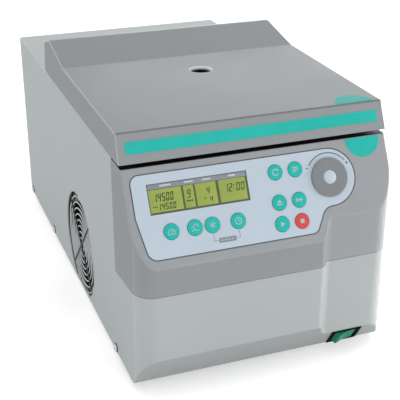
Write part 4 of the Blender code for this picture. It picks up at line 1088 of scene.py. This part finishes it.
# =============================================================== screws, feet
def cover_screw(name, matrix):
    head = lathe(name, filleted([(0, 2.7, 0), (2.6, 2.4, 1.6), (3.9, 1.3, 0.6), (3.9, 0.7, 0), (5.2, 0.7, 0.2), (5.2, 0.05, 0.1),
                                 (1.8, 0.05, 0), (1.8, -7.0, 0), (0, -7.0, 0)], 4),
                 matrix, ZINC, 40)
    cut(head, boxes("cut_cross", [((-2.1, -0.45, 1.4), (2.1, 0.45, 4.0))], matrix),
        boxes("cut_cross_b", [((-0.45, -2.1, 1.4), (0.45, 2.1, 4.0))], matrix))
    # Black on the walls of the cross recess is painted shade; black on the washer ring is painted shade round the head,
    # drawn as a dark washer.
    head.data.materials.append(BLACK)
    for poly in head.data.polygons:
        if math.hypot(poly.center.x, poly.center.y) > 3.95 * MM or poly.center.z > 1.3 * MM and abs(poly.normal.z) < 0.15:
            poly.material_index = 1
    return head


for side, sign in (("left", -1), ("right", 1)):
    for k, y in enumerate(screws_y):
        out = axes((0, sign, 0), (0, 0, 1), (sign, 0, 0), (sign * HALF_W, y, 15.0)) @ Matrix.Rotation(0.4 + 0.9 * k, 4, "Z")
        place(cover_screw("screw_%s_%d" % (side, k + 1), out), "cabinet", "zinc", "side_screw_%s_%d" % (side, k + 1), angle=40)
for k, (x, y) in enumerate(((-116, -203), (116, -203), (-116, 241), (116, 241))):
    pad = lathe("foot_pad_%d" % (k + 1), filleted([(0, 9.7, 0), (11, 9.7, 0), (11, 4.0, 1.0), (9.5, 0.0, 1.2), (0, 0.0, 0)], 5),
                shift(x, y, 0), RUBBER, 48)
    place(pad, "cabinet", "rubber", "foot_%d" % (k + 1), angle=40)

# =============================================================== carried-over nodes
CARRIED = {
    "base_pan": ZINC, "rear_panel": PAINT, "control_board": BOARD, "evaporator_coil": COPPER,
    "bowl_insulation": FOAM, "drive_motor": ENAMEL, "motor_mount": RUBBER, "motor_shaft": STEEL,
    "condenser": ALUMINIUM, "compressor": ENAMEL, "refrigerant_pipe": COPPER, "power_board": BOARD,
    "mains_inlet": BLACK, "lock_housing": BLACK, "lock_cam": STEEL, "hinge_bracket": ZINC,
    "lid_hook": STEEL, "hinge_rod": STEEL,
}
ROUND = ("evaporator_coil", "bowl_insulation", "drive_motor", "motor_mount", "motor_shaft", "compressor",
         "refrigerant_pipe", "hinge_rod")
for name, mat in CARRIED.items():
    obj = nodes[name]
    obj.data.materials.clear()
    obj.data.materials.append(mat)
    weld = obj.modifiers.new("Weld", "WELD")
    weld.merge_threshold = 0.000002
    if name not in ROUND and name not in ("condenser", "control_board"):
        soft = obj.modifiers.new("Bevel", "BEVEL")
        soft.width = 0.25 * MM
        soft.segments = 2
        soft.limit_method = "ANGLE"
        soft.angle_limit = math.radians(50)

# =============================================================== floor
floor_mesh = bpy.data.meshes.new("floor")
bm = bmesh.new()
bmesh.ops.create_grid(bm, x_segments=2, y_segments=2, size=30.0)
bm.to_mesh(floor_mesh)
bm.free()
floor = bpy.data.objects.new("floor", floor_mesh)
floor.location = (0, 0, -0.0001)
floor_mat, floor_tree, floor_bsdf = node_material("studio_floor")
floor_bsdf.inputs["Base Color"].default_value = (0.86, 0.86, 0.86, 1.0)
floor_bsdf.inputs["Roughness"].default_value = 0.9
floor_bsdf.inputs["Emission Color"].default_value = (1.0, 0.99, 0.985, 1.0)
floor_bsdf.inputs["Emission Strength"].default_value = 0.32
floor_bsdf.inputs["Specular IOR Level"].default_value = 0.1
floor_mesh.materials.append(floor_mat)
scene.collection.objects.link(floor)
